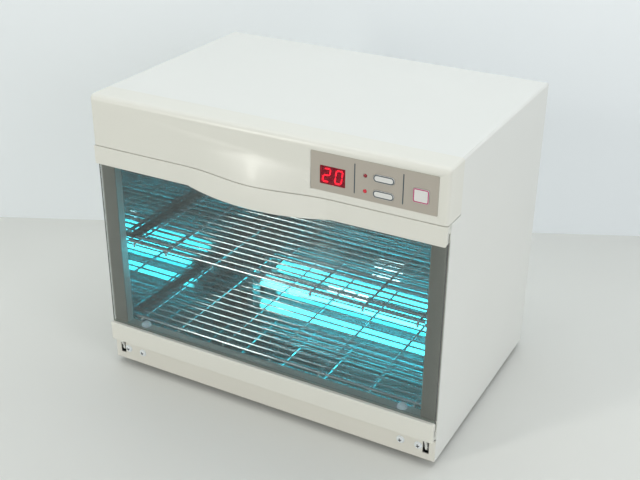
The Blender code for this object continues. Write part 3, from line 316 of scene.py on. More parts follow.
# %% [markdown]
# The cabinet is folded sheet steel under a pale, slightly cool cream powder paint. The moulded
# front parts are the same cream but warmer and smoother, with a soft shine that shows as a
# bright spot on the handle's nose. The skirt's paint is warmer and a little darker than both:
# the warmth is its own, the darkening is painted shade. An image texture could carry the orange
# peel, but it would need unwrapped faces and a file, while a noise in object coordinates fits
# every part at once.

# %% Paint and cream plastic
moulding_grain_depth = 0.000006
powder_paint = skin_material(
    "powder_paint", colour=(0.79, 0.80, 0.77), worn=(0.86, 0.86, 0.83),
    roughness=0.42, grains=900.0,
    tone=0.015, wear=0.35, settings={"Coat Weight": 0.05, "Coat Roughness": 0.25})
cream_moulding = skin_material(
    "cream_moulding", colour=(0.79, 0.785, 0.72), worn=(0.85, 0.84, 0.79),
    roughness=0.38, grains=1500.0, depth=moulding_grain_depth,
    tone=0.012, wear=0.30, settings={"Coat Weight": 0.15, "Coat Roughness": 0.12})
dress(powder_paint, "outer_cover", "rear_panel", "hinge_tongue_left", "hinge_tongue_right")
# Skirt paint: its own warmer cream, made darker as painted shade.
skirt_paint_shaded = skin_material(
    "skirt_paint_shaded", colour=(0.76, 0.745, 0.68), worn=(0.82, 0.81, 0.76),
    roughness=0.38, grains=900.0)
dress(skirt_paint_shaded, "base_skirt")
dress(cream_moulding, "fascia", "door_top_rail", "door_bottom_rail")

# %% [markdown]
# The chamber is lined with bright rolled stainless steel. It mirrors the racks and the lamp, but
# thin sheet is never flat: slow waves bend the mirrored lines. Slow waves and fine rolling lines
# are two noises, stacked through two Bump nodes. Rolled steel also scatters part of the light
# around the mirror image. One shader of middle roughness would blur the mirrored wires instead,
# so two Principled shaders are mixed: a sharp one and a hazy one.

# %% Mirror steel
steel_colour = (0.50, 0.60, 0.61)
steel_roughness = 0.0
haze_roughness = 0.42
haze_share = 0.15
steel_waves_per_metre = 9.0
steel_wave_depth = 0.00012
steel_lines_per_metre = 900.0
steel_line_depth = 0.0000003
steel_line_stretch = (0.02, 1.0, 1.0)
steel_patches_per_metre = 14.0


def add_steel_bumps(tree, column):
    # Two noises through two Bump nodes: slow waves of the sheet, then fine rolling lines.
    place = add_node(tree, "ShaderNodeTexCoord", column - 4, 1)
    waves = add_node(tree, "ShaderNodeTexNoise", column - 2, 1, {
        "Scale": steel_waves_per_metre, "Detail": 1.0})
    stretch = add_node(tree, "ShaderNodeMapping", column - 3, 2, {"Scale": steel_line_stretch})
    lines = add_node(tree, "ShaderNodeTexNoise", column - 2, 2, {
        "Scale": steel_lines_per_metre, "Detail": 2.0})
    wave_bump = add_node(tree, "ShaderNodeBump", column - 1, 1, {"Distance": steel_wave_depth})
    line_bump = add_node(tree, "ShaderNodeBump", column, 2, {"Distance": steel_line_depth})
    plug(tree, place.outputs["Object"], waves.inputs["Vector"])
    plug(tree, place.outputs["Object"], stretch.inputs["Vector"])
    plug(tree, stretch.outputs["Vector"], lines.inputs["Vector"])
    plug(tree, waves.outputs["Fac"], wave_bump.inputs["Height"])
    plug(tree, lines.outputs["Fac"], line_bump.inputs["Height"])
    plug(tree, wave_bump.outputs["Normal"], line_bump.inputs["Normal"])
    return line_bump.outputs["Normal"]


def make_mirror_steel():
    made, tree, shader = start_material("mirror_steel", {"Metallic": 1.0, "Roughness": steel_roughness})
    toned = place_group(tree, tone_group, -3, 0, {
        "Color": (*steel_colour, 1.0), "Patches per metre": steel_patches_per_metre,
        "Strength": faint_tone})
    bumped = add_steel_bumps(tree, -3)
    haze = add_node(tree, "ShaderNodeBsdfPrincipled", 0, 1, {
        "Metallic": 1.0, "Roughness": haze_roughness})
    for surface in (shader, haze):
        plug(tree, toned["Color"], surface.inputs["Base Color"])
        plug(tree, bumped, surface.inputs["Normal"])
    blend = add_node(tree, "ShaderNodeMixShader", 1, 0, {"Fac": haze_share})
    plug(tree, shader.outputs["BSDF"], blend.inputs[1])
    plug(tree, haze.outputs["BSDF"], blend.inputs[2])
    plug(tree, blend.outputs["Shader"], tree.nodes["Material Output"].inputs["Surface"])
    return made


mirror_steel = make_mirror_steel()
dress(mirror_steel, "chamber_liner", "rack_ledge_upper_left", "rack_ledge_upper_right",
      "rack_ledge_lower_left", "rack_ledge_lower_right")

# %% [markdown]
# The front frame is one folded sheet with two finishes: its flange, seen as a border through
# the door, is painted, and its sill and jambs, which turn into the chamber, are a paler satin.
# The flange is the cabinet's cream paint, but its colour is set much darker: painted shade.
# Two materials would need the faces to be sorted. The place along the depth already tells them
# apart, so one material holds both: a mask goes from paint to satin behind the flange and
# drives the colour, the roughness and Metallic.

# %% Front frame
frame_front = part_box("front_frame")[0].y
flange_thickness = 0.0012
# The flange's colour is the cream paint darkened as painted shade.
flange_shaded_colour = (0.43, 0.40, 0.36)
flange_roughness = 0.42
return_colour = (0.64, 0.68, 0.66)
return_metallic = 0.15
return_roughness = 0.30
mask_softness = 0.0001


def make_frame_finish():
    made, tree, shader = start_material("frame_paint_and_steel", {})
    place = add_node(tree, "ShaderNodeTexCoord", -7, 0)
    parts = add_node(tree, "ShaderNodeSeparateXYZ", -6, 0)
    plug(tree, place.outputs["Object"], parts.inputs["Vector"])
    edge = frame_front + flange_thickness
    bright = spread_value(
        tree, -5, 0, parts.outputs["Y"], edge - mask_softness, edge + mask_softness, 0.0, 1.0)
    paint = place_group(tree, tone_group, -4, 0, {
        "Color": (*flange_shaded_colour, 1.0), "Patches per metre": slow_patches_per_metre,
        "Strength": faint_tone, "Roughness": flange_roughness})
    satin = place_group(tree, tone_group, -4, 1, {
        "Color": (*return_colour, 1.0), "Patches per metre": steel_patches_per_metre,
        "Strength": faint_tone, "Roughness": return_roughness})
    colour = mix_colours(tree, -2, 0, bright, paint["Color"], satin["Color"])
    paint_part = math_node(tree, "SUBTRACT", -4, 2, 1.0, bright)
    rough_paint = math_node(tree, "MULTIPLY", -3, 2, paint_part, paint["Roughness"])
    rough_satin = math_node(tree, "MULTIPLY", -3, 3, bright, satin["Roughness"])
    plug(tree, colour, shader.inputs["Base Color"])
    plug(tree, math_node(tree, "ADD", -2, 2, rough_paint, rough_satin), shader.inputs["Roughness"])
    plug(tree, math_node(tree, "MULTIPLY", -2, 1, bright, return_metallic), shader.inputs["Metallic"])
    plug(tree, add_steel_bumps(tree, -2), shader.inputs["Normal"])
    return made


frame_finish = make_frame_finish()
dress(frame_finish, "front_frame")

# %% [markdown]
# The door's panel is a sheet of smoke-tinted acrylic. A real glass shader bends and reflects
# light well but, in a path tracer, it blocks the straight way of lamp light and leaves the
# chamber too dark. The usual cure is used here: for shadow and diffuse rays the sheet is a
# plain tinted filter, for all others it is the Principled glass. A mask along the width darkens
# the two cut edges at the sides.

# %% Tinted acrylic
acrylic_tint = (0.63, 0.665, 0.66, 1.0)
edge_tint = (0.10, 0.11, 0.105, 1.0)
edge_depth = 0.0002
panel_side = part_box("door_panel")[1].x


def make_acrylic():
    made, tree, shader = start_material("smoke_acrylic", {
        "Base Color": acrylic_tint, "Roughness": 0.0, "IOR": 1.49, "Transmission Weight": 1.0})
    haze = place_group(tree, tone_group, -2, 0, {
        "Color": acrylic_tint, "Patches per metre": 22.0, "Strength": 0.015})
    place = add_node(tree, "ShaderNodeTexCoord", -6, 1)
    parts = add_node(tree, "ShaderNodeSeparateXYZ", -5, 1)
    plug(tree, place.outputs["Object"], parts.inputs["Vector"])
    distance = math_node(tree, "ABSOLUTE", -4, 1, parts.outputs["X"])
    cut_edge = math_node(tree, "GREATER_THAN", -3, 1, distance, panel_side - edge_depth)
    tint = mix_colours(tree, -1, 0, cut_edge, haze["Color"], edge_tint)
    plug(tree, tint, shader.inputs["Base Color"])
    rays = add_node(tree, "ShaderNodeLightPath", -1, -2)
    straight = math_node(
        tree, "MAXIMUM", 0, -1, rays.outputs["Is Shadow Ray"], rays.outputs["Is Diffuse Ray"])
    veil = add_node(tree, "ShaderNodeBsdfTransparent", 0, 2, {"Color": acrylic_tint})
    choice = add_node(tree, "ShaderNodeMixShader", 1, 0)
    plug(tree, straight, choice.inputs["Fac"])
    plug(tree, shader.outputs["BSDF"], choice.inputs[1])
    plug(tree, veil.outputs["BSDF"], choice.inputs[2])
    plug(tree, choice.outputs["Shader"], tree.nodes["Material Output"].inputs["Surface"])
    return made


smoke_acrylic = make_acrylic()
dress(smoke_acrylic, "door_panel")

# %% [markdown]
# The lamp is a slim fluorescent tube of clear ultraviolet glass. To the eye and the camera it
# glows cyan. A light object beside it would light the chamber too, but then the steel would
# mirror a tube that is dark. So the glass itself glows, through its Emission. The glow fades
# towards the ends, where the electrodes have darkened the glass, so its colour is worked out
# from the distance to the middle of the tube.

# %% Lamp
glow_colour = (0.058, 0.84, 1.0, 1.0)
glow_strength = 11.0
end_glow_colour = (0.02, 0.22, 0.20, 1.0)
tube_glass_colour = (0.55, 0.75, 0.80, 1.0)
lamp_low, lamp_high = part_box("lamp_tube")
lamp_half_length = (lamp_high.x - lamp_low.x) / 2
glow_end_share = 0.90


def make_lamp_glow():
    made, tree, shader = start_material("lamp_glow", {
        "Base Color": tube_glass_colour, "Roughness": 0.16, "Emission Strength": glow_strength})
    place = add_node(tree, "ShaderNodeTexCoord", -6, 0)
    parts = add_node(tree, "ShaderNodeSeparateXYZ", -5, 0)
    plug(tree, place.outputs["Object"], parts.inputs["Vector"])
    distance = math_node(tree, "ABSOLUTE", -4, 0, parts.outputs["X"])
    near_end = spread_value(
        tree, -3, 0, distance, lamp_half_length * glow_end_share, lamp_half_length, 0.0, 1.0)
    glow = mix_colours(tree, -1, 0, near_end, glow_colour, end_glow_colour)
    plug(tree, glow, shader.inputs["Emission Color"])
    return made


lamp_glow = make_lamp_glow()
dress(lamp_glow, "lamp_tube")
cap_metal = skin_material(
    "lamp_cap_metal", colour=(0.72, 0.73, 0.74), worn=(0.85, 0.85, 0.86),
    roughness=0.28, grains=700.0, depth=fine_grain_depth,
    settings={"Metallic": 1.0})
dress(cap_metal, "lamp_cap_left", "lamp_cap_right")
holder_white = skin_material(
    "lampholder_white", colour=(0.78, 0.82, 0.80), worn=(0.86, 0.88, 0.86),
    roughness=0.38, grains=1200.0, depth=fine_grain_depth)
dress(holder_white, "lampholder_left", "lampholder_right")

# %% [markdown]
# Smaller finishes: zinc-plated steel for pans and hinges, black mouldings, rubber feet, the
# green circuit board. They are mostly inside or underneath, where a flat colour would do for the
# picture, but the part is looked at from all sides, so each gets its own grain and worn edges.

# %% Small finishes
rubber_grain_depth = 0.00005
zinc_plate = skin_material(
    "zinc_plate", colour=(0.62, 0.63, 0.62), worn=(0.78, 0.78, 0.77),
    roughness=0.34, grains=160.0, depth=fine_grain_depth,
    tone=0.12, patches=60.0, settings={"Metallic": 1.0})
dress(zinc_plate, "base_pan", "ballast", "hinge_bracket_left", "hinge_bracket_right",
      "hinge_pin_left", "hinge_pin_right", "strike_plate_left", "strike_plate_right")
black_moulding = skin_material(
    "black_moulding", colour=(0.022, 0.022, 0.024), worn=(0.06, 0.06, 0.06),
    roughness=0.42, grains=1300.0)
dress(black_moulding, "power_inlet", "magnet_catch_left", "magnet_catch_right", "door_sensor",
      "mode_key_upper_switch", "mode_key_lower_switch", "power_key_switch")
foot_rubber = skin_material(
    "foot_rubber", colour=(0.030, 0.030, 0.031), worn=(0.05, 0.05, 0.05),
    roughness=0.78, grains=900.0, depth=rubber_grain_depth)
dress(foot_rubber, "foot_front_left", "foot_front_right", "foot_rear_left", "foot_rear_right")
board_mask = skin_material(
    "board_mask", colour=(0.03, 0.20, 0.09), worn=(0.10, 0.30, 0.15),
    roughness=0.35, grains=500.0)
dress(board_mask, "control_board")

# %% [markdown]
# The keypad is a taupe film plate with white keys. The film has a very fine printed grain, and
# both it and the keys are the plain recipe with finer grains. The mode lamps are small clear red
# lenses, so a shiny coat lies over a deep red. The upper one is off and dark, yet it has a weak
# glow: painted light on an unlit lens. The lower one is lit, which is the same lens with a
# stronger glow.

# %% Keypad finishes
fine_wear_width = 0.0005
panel_film = skin_material(
    "panel_film", colour=(0.465, 0.425, 0.368), worn=(0.62, 0.60, 0.54),
    roughness=0.42, grains=2600.0, depth=fine_grain_depth,
    tone=0.02, wear=0.5, wear_width=fine_wear_width)
dress(panel_film, "control_panel_plate")
key_white = skin_material(
    "key_white", colour=(0.78, 0.78, 0.76), worn=(0.86, 0.86, 0.85),
    roughness=0.32, grains=1500.0, depth=fine_grain_depth, wear_width=fine_wear_width)
dress(key_white, "mode_key_upper", "mode_key_lower", "power_key")


def make_lamp_lens(name, colour, glow):
    made, tree, shader = start_material(name, {
        "Roughness": 0.18, "Coat Weight": 0.6, "Emission Strength": glow,
        "Emission Color": (*colour, 1.0)})
    toned = place_group(tree, tone_group, -2, 0, {
        "Color": (*colour, 1.0), "Patches per metre": 700.0, "Strength": 0.15})
    plug(tree, toned["Color"], shader.inputs["Base Color"])
    return made


# The unlit lens's weak glow is painted light.
dress(make_lamp_lens("mode_lens_dark", colour=(0.24, 0.012, 0.022), glow=0.15), "mode_led_upper")
dress(make_lamp_lens("mode_lens_lit", colour=(0.46, 0.020, 0.035), glow=0.4), "mode_led_lower")

# %% [markdown]
# The CAD parts stay as they are, but a few pieces of the real object have finer forms, so these
# are made anew. The last steps are the same for all of them: a bmesh becomes a mesh, the piece
# is linked to the scene, gets its finish and rides on a body of the part. They could be written
# out each time, but in two functions no step is forgotten.


# %% Tools for new pieces
def finish_piece(name, mesh, material, body, replaces=()):
    piece = bpy.data.objects.new(name, mesh)
    bpy.context.scene.collection.objects.link(piece)
    mesh.materials.clear()
    mesh.materials.append(material)
    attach(piece, body)
    for node in replaces:
        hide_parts(node)
    print("made", name, "with", len(mesh.polygons), "faces")
    return piece


def shape_to_mesh(shape, name, smooth_angle=None):
    # Faces that meet at less than the angle share their normals and look like one curve.
    bmesh.ops.recalc_face_normals(shape, faces=shape.faces)
    mesh = bpy.data.meshes.new(name)
    shape.to_mesh(mesh)
    shape.free()
    if smooth_angle is not None:
        mesh.shade_smooth()
        mesh.set_sharp_from_angle(angle=smooth_angle)
    return mesh


soft_angle = math.radians(40)
print("edges are soft below", round(math.degrees(soft_angle)), "degrees")

# %% [markdown]
# The CAD nodes come with flat facets, which would break the highlight on the handle's nose and
# on the rounded edges. A Subdivision Surface modifier would smooth them, but it would also pull
# in the corners. A smooth skin keeps the shape. It is a copy of a node's mesh that stands in for
# it: points that meet are merged, edges below a small angle share their normals, and a Weighted
# Normal modifier lets wide flat faces rule the corners they touch, so flat areas stay flat.

# %% Smooth skins
merge_distance = 0.000001
skin_angle = math.radians(32)


def make_smooth_skin(node, body, material):
    shape = bmesh.new()
    shape.from_mesh(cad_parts[node].data)
    bmesh.ops.remove_doubles(shape, verts=shape.verts, dist=merge_distance)
    for face in shape.faces:
        face.material_index = 0
    name = f"{node}_skin"
    piece = finish_piece(name, shape_to_mesh(shape, name, skin_angle), material, body, [node])
    ruling = piece.modifiers.new("flat faces rule", "WEIGHTED_NORMAL")
    ruling.keep_sharp = True
    return piece


make_smooth_skin("fascia", "cabinet", cream_moulding)
make_smooth_skin("door_top_rail", "door", cream_moulding)
make_smooth_skin("door_bottom_rail", "door", cream_moulding)
make_smooth_skin("outer_cover", "cabinet", powder_paint)

# %% [markdown]
# A rack is a row of thin wires that run from side to side, welded on top of a few bars that run
# from front to back. The first wire is thicker. The bars' front ends are bent down, and the upper
# rack's middle bars sit a little to the left. Every wire is a curve with a round bevel, which
# gives bends and round ends for free, and is then turned into a mesh. The plated wire is shiny
# enough to show white where it meets the room's light and cyan where it meets the lamp's. Sizes
# come from the CAD node's box, so that both stay the same.


# %% Tool: round wires
def tube_mesh(name, paths, radius, roundness=4):
    # All paths become round wires of one mesh.
    curve = bpy.data.curves.new(name, "CURVE")
    curve.dimensions = "3D"
    curve.bevel_depth = radius
    curve.bevel_resolution = roundness
    curve.use_fill_caps = True
    for path in paths:
        spline = curve.splines.new("POLY")
        spline.points.add(len(path) - 1)
        for point, place in zip(spline.points, path):
            point.co = (*place, 1.0)
    carrier = bpy.data.objects.new(name, curve)
    bpy.context.scene.collection.objects.link(carrier)
    bpy.context.view_layer.update()
    solved = carrier.evaluated_get(bpy.context.evaluated_depsgraph_get())
    mesh = bpy.data.meshes.new_from_object(solved)
    bpy.data.objects.remove(carrier, do_unlink=True)
    mesh.shade_smooth()
    mesh.set_sharp_from_angle(angle=soft_angle)
    return mesh


# %% Racks
wire_grain_depth = 0.000003
chrome_wire = skin_material(
    "chrome_wire", colour=(0.78, 0.82, 0.85), worn=(0.88, 0.89, 0.90),
    roughness=0.075, grains=500.0, depth=wire_grain_depth,
    tone=0.02, patches=40.0, wear=0.2, settings={"Metallic": 0.84})
wire_radius = 0.00125
front_wire_radius = 0.0017
bar_radius = 0.0015
wire_pitch = 0.0128
bar_pitch = 0.0655
bars_beside_middle = 2
bar_shifts = {"upper_rack": -0.009, "lower_rack": 0.0}
side_bar_inset = 0.0085
weld_overlap_share = 0.75
hook_bend_radius = 0.0022
hook_bend_steps = 5


def make_rack(node):
    low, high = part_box(node)
    half_width = (high.x - low.x) / 2
    wire_z = high.z - front_wire_radius
    bar_z = wire_z - (wire_radius + bar_radius) * weld_overlap_share
    front_y = low.y + 2 * bar_radius
    back_y = high.y - bar_radius
    wire_count = round((back_y - front_y) / wire_pitch)
    wires = []
    for i in range(1, wire_count + 1):
        y = front_y + wire_pitch * i
        wires.append([(-half_width, y, wire_z), (half_width, y, wire_z)])
    bars = []
    side_x = half_width - side_bar_inset
    middle_xs = [
        bar_shifts[node] + bar_pitch * i for i in range(-bars_beside_middle, bars_beside_middle + 1)]
    for x in (-side_x, *middle_xs, side_x):
        hook_y = low.y + bar_radius
        path = [(x, hook_y, low.z)]
        for i in range(hook_bend_steps + 1):
            turn = math.pi / 2 * i / hook_bend_steps
            path.append((
                x,
                hook_y + hook_bend_radius * (1 - math.cos(turn)),
                bar_z - hook_bend_radius * (1 - math.sin(turn)),
            ))
        path.append((x, high.y, bar_z))
        bars.append(path)
    shape = bmesh.new()
    front = [[(-half_width, front_y, wire_z), (half_width, front_y, wire_z)]]
    for paths, radius in ((wires, wire_radius), (bars, bar_radius), (front, front_wire_radius)):
        part = tube_mesh(node, paths, radius)
        shape.from_mesh(part)
        bpy.data.meshes.remove(part)
    mesh = shape_to_mesh(shape, f"{node}_wires", soft_angle)
    return finish_piece(f"{node}_wires", mesh, chrome_wire, node, [node])


for rack_node in ("upper_rack", "lower_rack"):
    make_rack(rack_node)

# %% [markdown]
# Soft domes on the sill take the door's knock. They are cast silicone: milky, with light that
# goes some way in. Their faint blue glow is painted light: it stands in for the lamp's light on
# the domes. A ball sunk into the sill would leave half of itself inside the steel. A profile that
# is turned round an axis gives the dome alone, with its own height and a closed foot.


# %% Tool: a turned body
def turned_mesh(name, profile, steps=48):
    # The profile is (radius, height) from the top of the axis to its foot.
    rings = []
    shape = bmesh.new()
    for radius, height in profile:
        if radius == 0:
            rings.append([shape.verts.new((0, 0, height))])
            continue
        ring = []
        for i in range(steps):
            angle = 2 * math.pi * i / steps
            ring.append(shape.verts.new((radius * math.cos(angle), radius * math.sin(angle), height)))
        rings.append(ring)
    for upper, lower in zip(rings, rings[1:]):
        for i in range(steps):
            k = (i + 1) % steps
            corners = [
                upper[i % len(upper)], lower[i % len(lower)],
                lower[k % len(lower)], upper[k % len(upper)],
            ]
            distinct = list(dict.fromkeys(corners))
            if len(distinct) > 2:
                shape.faces.new(distinct)
    return shape_to_mesh(shape, name, soft_angle)


# %% Sill bumpers
silicone_scatter_depth = 0.003
# The blue emission of the silicone is painted lamp light on the domes.
bumper_silicone = skin_material(
    "bumper_silicone", colour=(0.88, 0.93, 0.96), worn=(0.92, 0.95, 0.97),
    roughness=0.35, grains=900.0, depth=fine_grain_depth,
    settings={"Subsurface Weight": 0.4, "Subsurface Scale": silicone_scatter_depth,
              "Emission Color": (0.22, 0.36, 0.50, 1.0), "Emission Strength": 0.35})
dome_steps = 10


def make_bumper(node):
    low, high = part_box(node)
    centre = (low + high) / 2
    radius = (high.x - low.x) / 2
    height = high.z - low.z
    profile = [(0.0, height)]
    for i in range(1, dome_steps + 1):
        turn = math.pi / 2 * i / dome_steps
        profile.append((radius * math.sin(turn), height * math.cos(turn)))
    profile.append((0.0, 0.0))
    mesh = turned_mesh(f"{node}_dome", profile)
    mesh.transform(Matrix.Translation((centre.x, centre.y, low.z)))
    return finish_piece(f"{node}_dome", mesh, bumper_silicone, "cabinet", [node])


for bumper_node in ("sill_bumper_left", "sill_bumper_right"):
    make_bumper(bumper_node)

# %% [markdown]
# The four screws of the skirt are white-lacquered pan heads on a thin washer, with a cross
# recess. The head is turned from a profile. A cross made with bump would look painted from the
# side, so it is cut with a Boolean, which is applied. The faces that lie deeper than a margin
# under the dome get a second, dark material: painted shade in the recess.


# %% Tool: cut one shape out of another
def apply_boolean(mesh, cutter):
    body = bpy.data.objects.new("boolean_body", mesh)
    tool = bpy.data.objects.new("boolean_tool", cutter)
    for helper in (body, tool):
        bpy.context.scene.collection.objects.link(helper)
    step = body.modifiers.new("cut", "BOOLEAN")
    step.operation = "DIFFERENCE"
    step.solver = "EXACT"
    step.use_self = True
    step.object = tool
    bpy.context.view_layer.update()
    solved = body.evaluated_get(bpy.context.evaluated_depsgraph_get())
    result = bpy.data.meshes.new_from_object(solved)
    for helper in (body, tool):
        bpy.data.objects.remove(helper, do_unlink=True)
    return result


# %% Skirt screws
screw_wear_width = 0.0003
screw_lacquer = skin_material(
    "screw_lacquer", colour=(0.86, 0.90, 0.93), worn=(0.62, 0.64, 0.66),
    roughness=0.28, grains=800.0, depth=fine_grain_depth,
    wear=0.5, wear_width=screw_wear_width)
# Dark material for the cross recess: painted shade, not a colour of the screw.
screw_recess_shade = skin_material(
    "screw_recess_shade", colour=(0.045, 0.055, 0.065), worn=(0.10, 0.11, 0.12),
    roughness=0.5, grains=800.0, depth=fine_grain_depth)
head_steps = 8
dome_parts_per_rim = 3
washer_lip = 0.0007
washer_thickness = 0.0005
cross_width = 0.0012
cross_length = 0.0046
cross_depth = 0.0015
recess_margin = 0.0002
cross_turn = math.radians(18)


def cross_cutter(height):
    shape = bmesh.new()
    for turn in (0.0, math.pi / 2):
        size = Matrix.Diagonal((cross_length, cross_width, 2 * cross_depth, 1.0))
        place = Matrix.Translation((0, 0, height)) @ Matrix.Rotation(turn + cross_turn, 4, "Z") @ size
        bmesh.ops.create_cube(shape, size=1.0, matrix=place)
    return shape_to_mesh(shape, "cross_cutter")


def make_screw(node):
    low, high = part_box(node)
    centre = (low + high) / 2
    radius = (high.z - low.z) / 2
    skirt_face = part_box("base_skirt")[0].y
    height = skirt_face - low.y
    rim = height / dome_parts_per_rim
    profile = [(0.0, height)]
    for i in range(1, head_steps + 1):
        turn = math.pi / 2 * i / head_steps
        profile.append((radius * math.sin(turn), rim + (height - rim) * math.cos(turn)))
    profile.append((radius, washer_thickness))
    profile.append((radius + washer_lip, washer_thickness))
    profile.append((radius + washer_lip, 0.0))
    profile.append((0.0, 0.0))
    mesh = apply_boolean(turned_mesh(f"{node}_head", profile), cross_cutter(height))
    sunk = []
    for face in mesh.polygons:
        reach = math.hypot(face.center.x, face.center.y)
        dome = rim + (height - rim) * math.sqrt(max(0.0, 1 - (reach / radius) ** 2))
        if reach < cross_length / 2 and rim < face.center.z < dome - recess_margin:
            sunk.append(face.index)
    upright = Matrix.Rotation(math.pi / 2, 4, "X")
    mesh.transform(Matrix.Translation((centre.x, skirt_face, centre.z)) @ upright)
    mesh.shade_smooth()
    mesh.set_sharp_from_angle(angle=soft_angle)
    piece = finish_piece(f"{node}_head", mesh, screw_lacquer, "cabinet", [node])
    # The sunk faces take the painted shade of the recess.
    mesh.materials.append(screw_recess_shade)
    for index in sunk:
        mesh.polygons[index].material_index = 1
    return piece


for screw_side in ("left", "right"):
    for screw_row in ("inner", "outer"):
        make_screw(f"skirt_screw_{screw_side}_{screw_row}")

# %% [markdown]
# On the film plate, thin printed lines part the keypad into three fields, and each key has an
# outline: slate grey round the mode keys, magenta round the power key. Ink has almost no
# height, but a line that is drawn as geometry stays sharp at any distance, so each is a strip
# that stands a few hundredths of a millimetre above the film.


# %% Tools: outlines, plates and rings
def rounded_outline(width, height, radius, steps=8):
    # Corner by corner, anticlockwise from the right side. Points are (across, up).
    points = []
    for quarter in range(4):
        angle = math.pi / 2 * quarter
        across = (width / 2 - radius) * (1 if quarter in (0, 3) else -1)
        up = (height / 2 - radius) * (1 if quarter in (0, 1) else -1)
        for i in range(steps + 1):
            turn = angle + math.pi / 2 * i / steps
            points.append((across + radius * math.cos(turn), up + radius * math.sin(turn)))
    return points


def add_plate(shape, outline, x, front_y, z, thickness):
    # A solid plate with that outline, seen from the front, with its face at front_y.
    front = [shape.verts.new((x + across, front_y, z + up)) for across, up in outline]
    back = [shape.verts.new((x + across, front_y + thickness, z + up)) for across, up in outline]
    shape.faces.new(front)
    shape.faces.new(back[::-1])
    for i in range(len(outline)):
        k = (i + 1) % len(outline)
        shape.faces.new((front[i], back[i], back[k], front[k]))


def add_ring(shape, outer, inner, x, front_y, z, thickness):
    # A flat band between two outlines that have the same number of points.
    rows = []
    for outline in (outer, inner):
        for y in (front_y, front_y + thickness):
            rows.append([shape.verts.new((x + across, y, z + up)) for across, up in outline])
    outer_front, outer_back, inner_front, inner_back = rows
    for i in range(len(outer)):
        k = (i + 1) % len(outer)
        shape.faces.new((outer_front[i], outer_front[k], inner_front[k], inner_front[i]))
        shape.faces.new((outer_back[i], inner_back[i], inner_back[k], outer_back[k]))
        shape.faces.new((outer_front[i], outer_back[i], outer_back[k], outer_front[k]))
        shape.faces.new((inner_front[i], inner_front[k], inner_back[k], inner_back[i]))


# %% Printed lines of the keypad
ink_height = 0.00006
ink_grain_depth = 0.000002
slate_ink = skin_material(
    "slate_ink", colour=(0.055, 0.08, 0.10), worn=(0.12, 0.13, 0.15),
    roughness=0.4, grains=2500.0, depth=ink_grain_depth)
magenta_ink = skin_material(
    "magenta_ink", colour=(0.50, 0.035, 0.17), worn=(0.6, 0.15, 0.3),
    roughness=0.4, grains=2500.0, depth=ink_grain_depth)
plate_low, plate_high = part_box("control_panel_plate")
ink_face = plate_low.y - ink_height
divider_width = 0.0012
divider_margin = 0.0048
divider_places = (0.0505, 0.1041)
divider_end_steps = 3
outline_inset = 0.0002
outline_stroke = 0.0011
key_flange_margin = 0.0014
mode_key_corner = 0.0039
power_key_corner = 0.0024


def make_divider(name, x):
    shape = bmesh.new()
    height = plate_high.z - plate_low.z - 2 * divider_margin
    outline = rounded_outline(divider_width, height, divider_width / 2, divider_end_steps)
    add_plate(shape, outline, x, ink_face, (plate_low.z + plate_high.z) / 2, ink_height)
    return finish_piece(name, shape_to_mesh(shape, name), slate_ink, "cabinet")


def make_key_outline(node, corner, ink):
    # The ring lies on the cap, a little in from its edge, and moves with the key.
    low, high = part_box(node)
    centre = (low + high) / 2
    width = high.x - low.x - 2 * (key_flange_margin + outline_inset)
    height = high.z - low.z - 2 * (key_flange_margin + outline_inset)
    outer = rounded_outline(width, height, corner - outline_inset)
    inner = rounded_outline(
        width - 2 * outline_stroke, height - 2 * outline_stroke, corner - outline_inset - outline_stroke)
    shape = bmesh.new()
    add_ring(shape, outer, inner, centre.x, low.y - ink_height, centre.z, ink_height)
    name = f"{node}_outline"
    return finish_piece(name, shape_to_mesh(shape, name), ink, node)


for divider_name, divider_offset in zip(("panel_divider_left", "panel_divider_right"), divider_places):
    make_divider(divider_name, plate_low.x + divider_offset)
make_key_outline("mode_key_upper", mode_key_corner, slate_ink)
make_key_outline("mode_key_lower", mode_key_corner, slate_ink)
make_key_outline("power_key", power_key_corner, magenta_ink)

# %% [markdown]
# The display is a red filter over a module with two figures of seven bars each. Only the bars
# that are lit show. A text object would need a font with such figures in a file. So each bar is
# a six-cornered strip that leans a little to the right with its figure. The filter is a tinted,
# see-through sheet, so the glow behind it comes out red.

# %% Display
figure_height = 0.0142
figure_width = 0.0072
figure_pitch = 0.0140
figure_shift = -0.0011
figure_drop = 0.0012
figure_lean_degrees = 8
figure_lean = math.tan(math.radians(figure_lean_degrees))
bar_width = 0.0016
bar_gap = 0.0003
bar_relief = 0.0002
lit_bars = {"2": "abged", "0": "abcdef"}


def bar_outline(start, end):
    # A strip with pointed ends between two corners of the figure.
    start = Vector(start)
    end = Vector(end)
    along = (end - start).normalized()
    side = Vector((-along.y, along.x)) * bar_width / 2
    first = start + along * bar_gap
    last = end - along * bar_gap
    inset = along * bar_width / 2
    return [
        first, first + inset + side, last - inset + side,
        last, last - inset - side, first + inset - side,
    ]


def figure_bars(figure):
    right = figure_width / 2
    top = figure_height / 2
    ends = {
        "a": ((-right, top), (right, top)),
        "b": ((right, top), (right, 0.0)),
        "c": ((right, 0.0), (right, -top)),
        "d": ((-right, -top), (right, -top)),
        "e": ((-right, 0.0), (-right, -top)),
        "f": ((-right, top), (-right, 0.0)),
        "g": ((-right, 0.0), (right, 0.0)),
    }
    return [bar_outline(*ends[bar]) for bar in lit_bars[figure]]


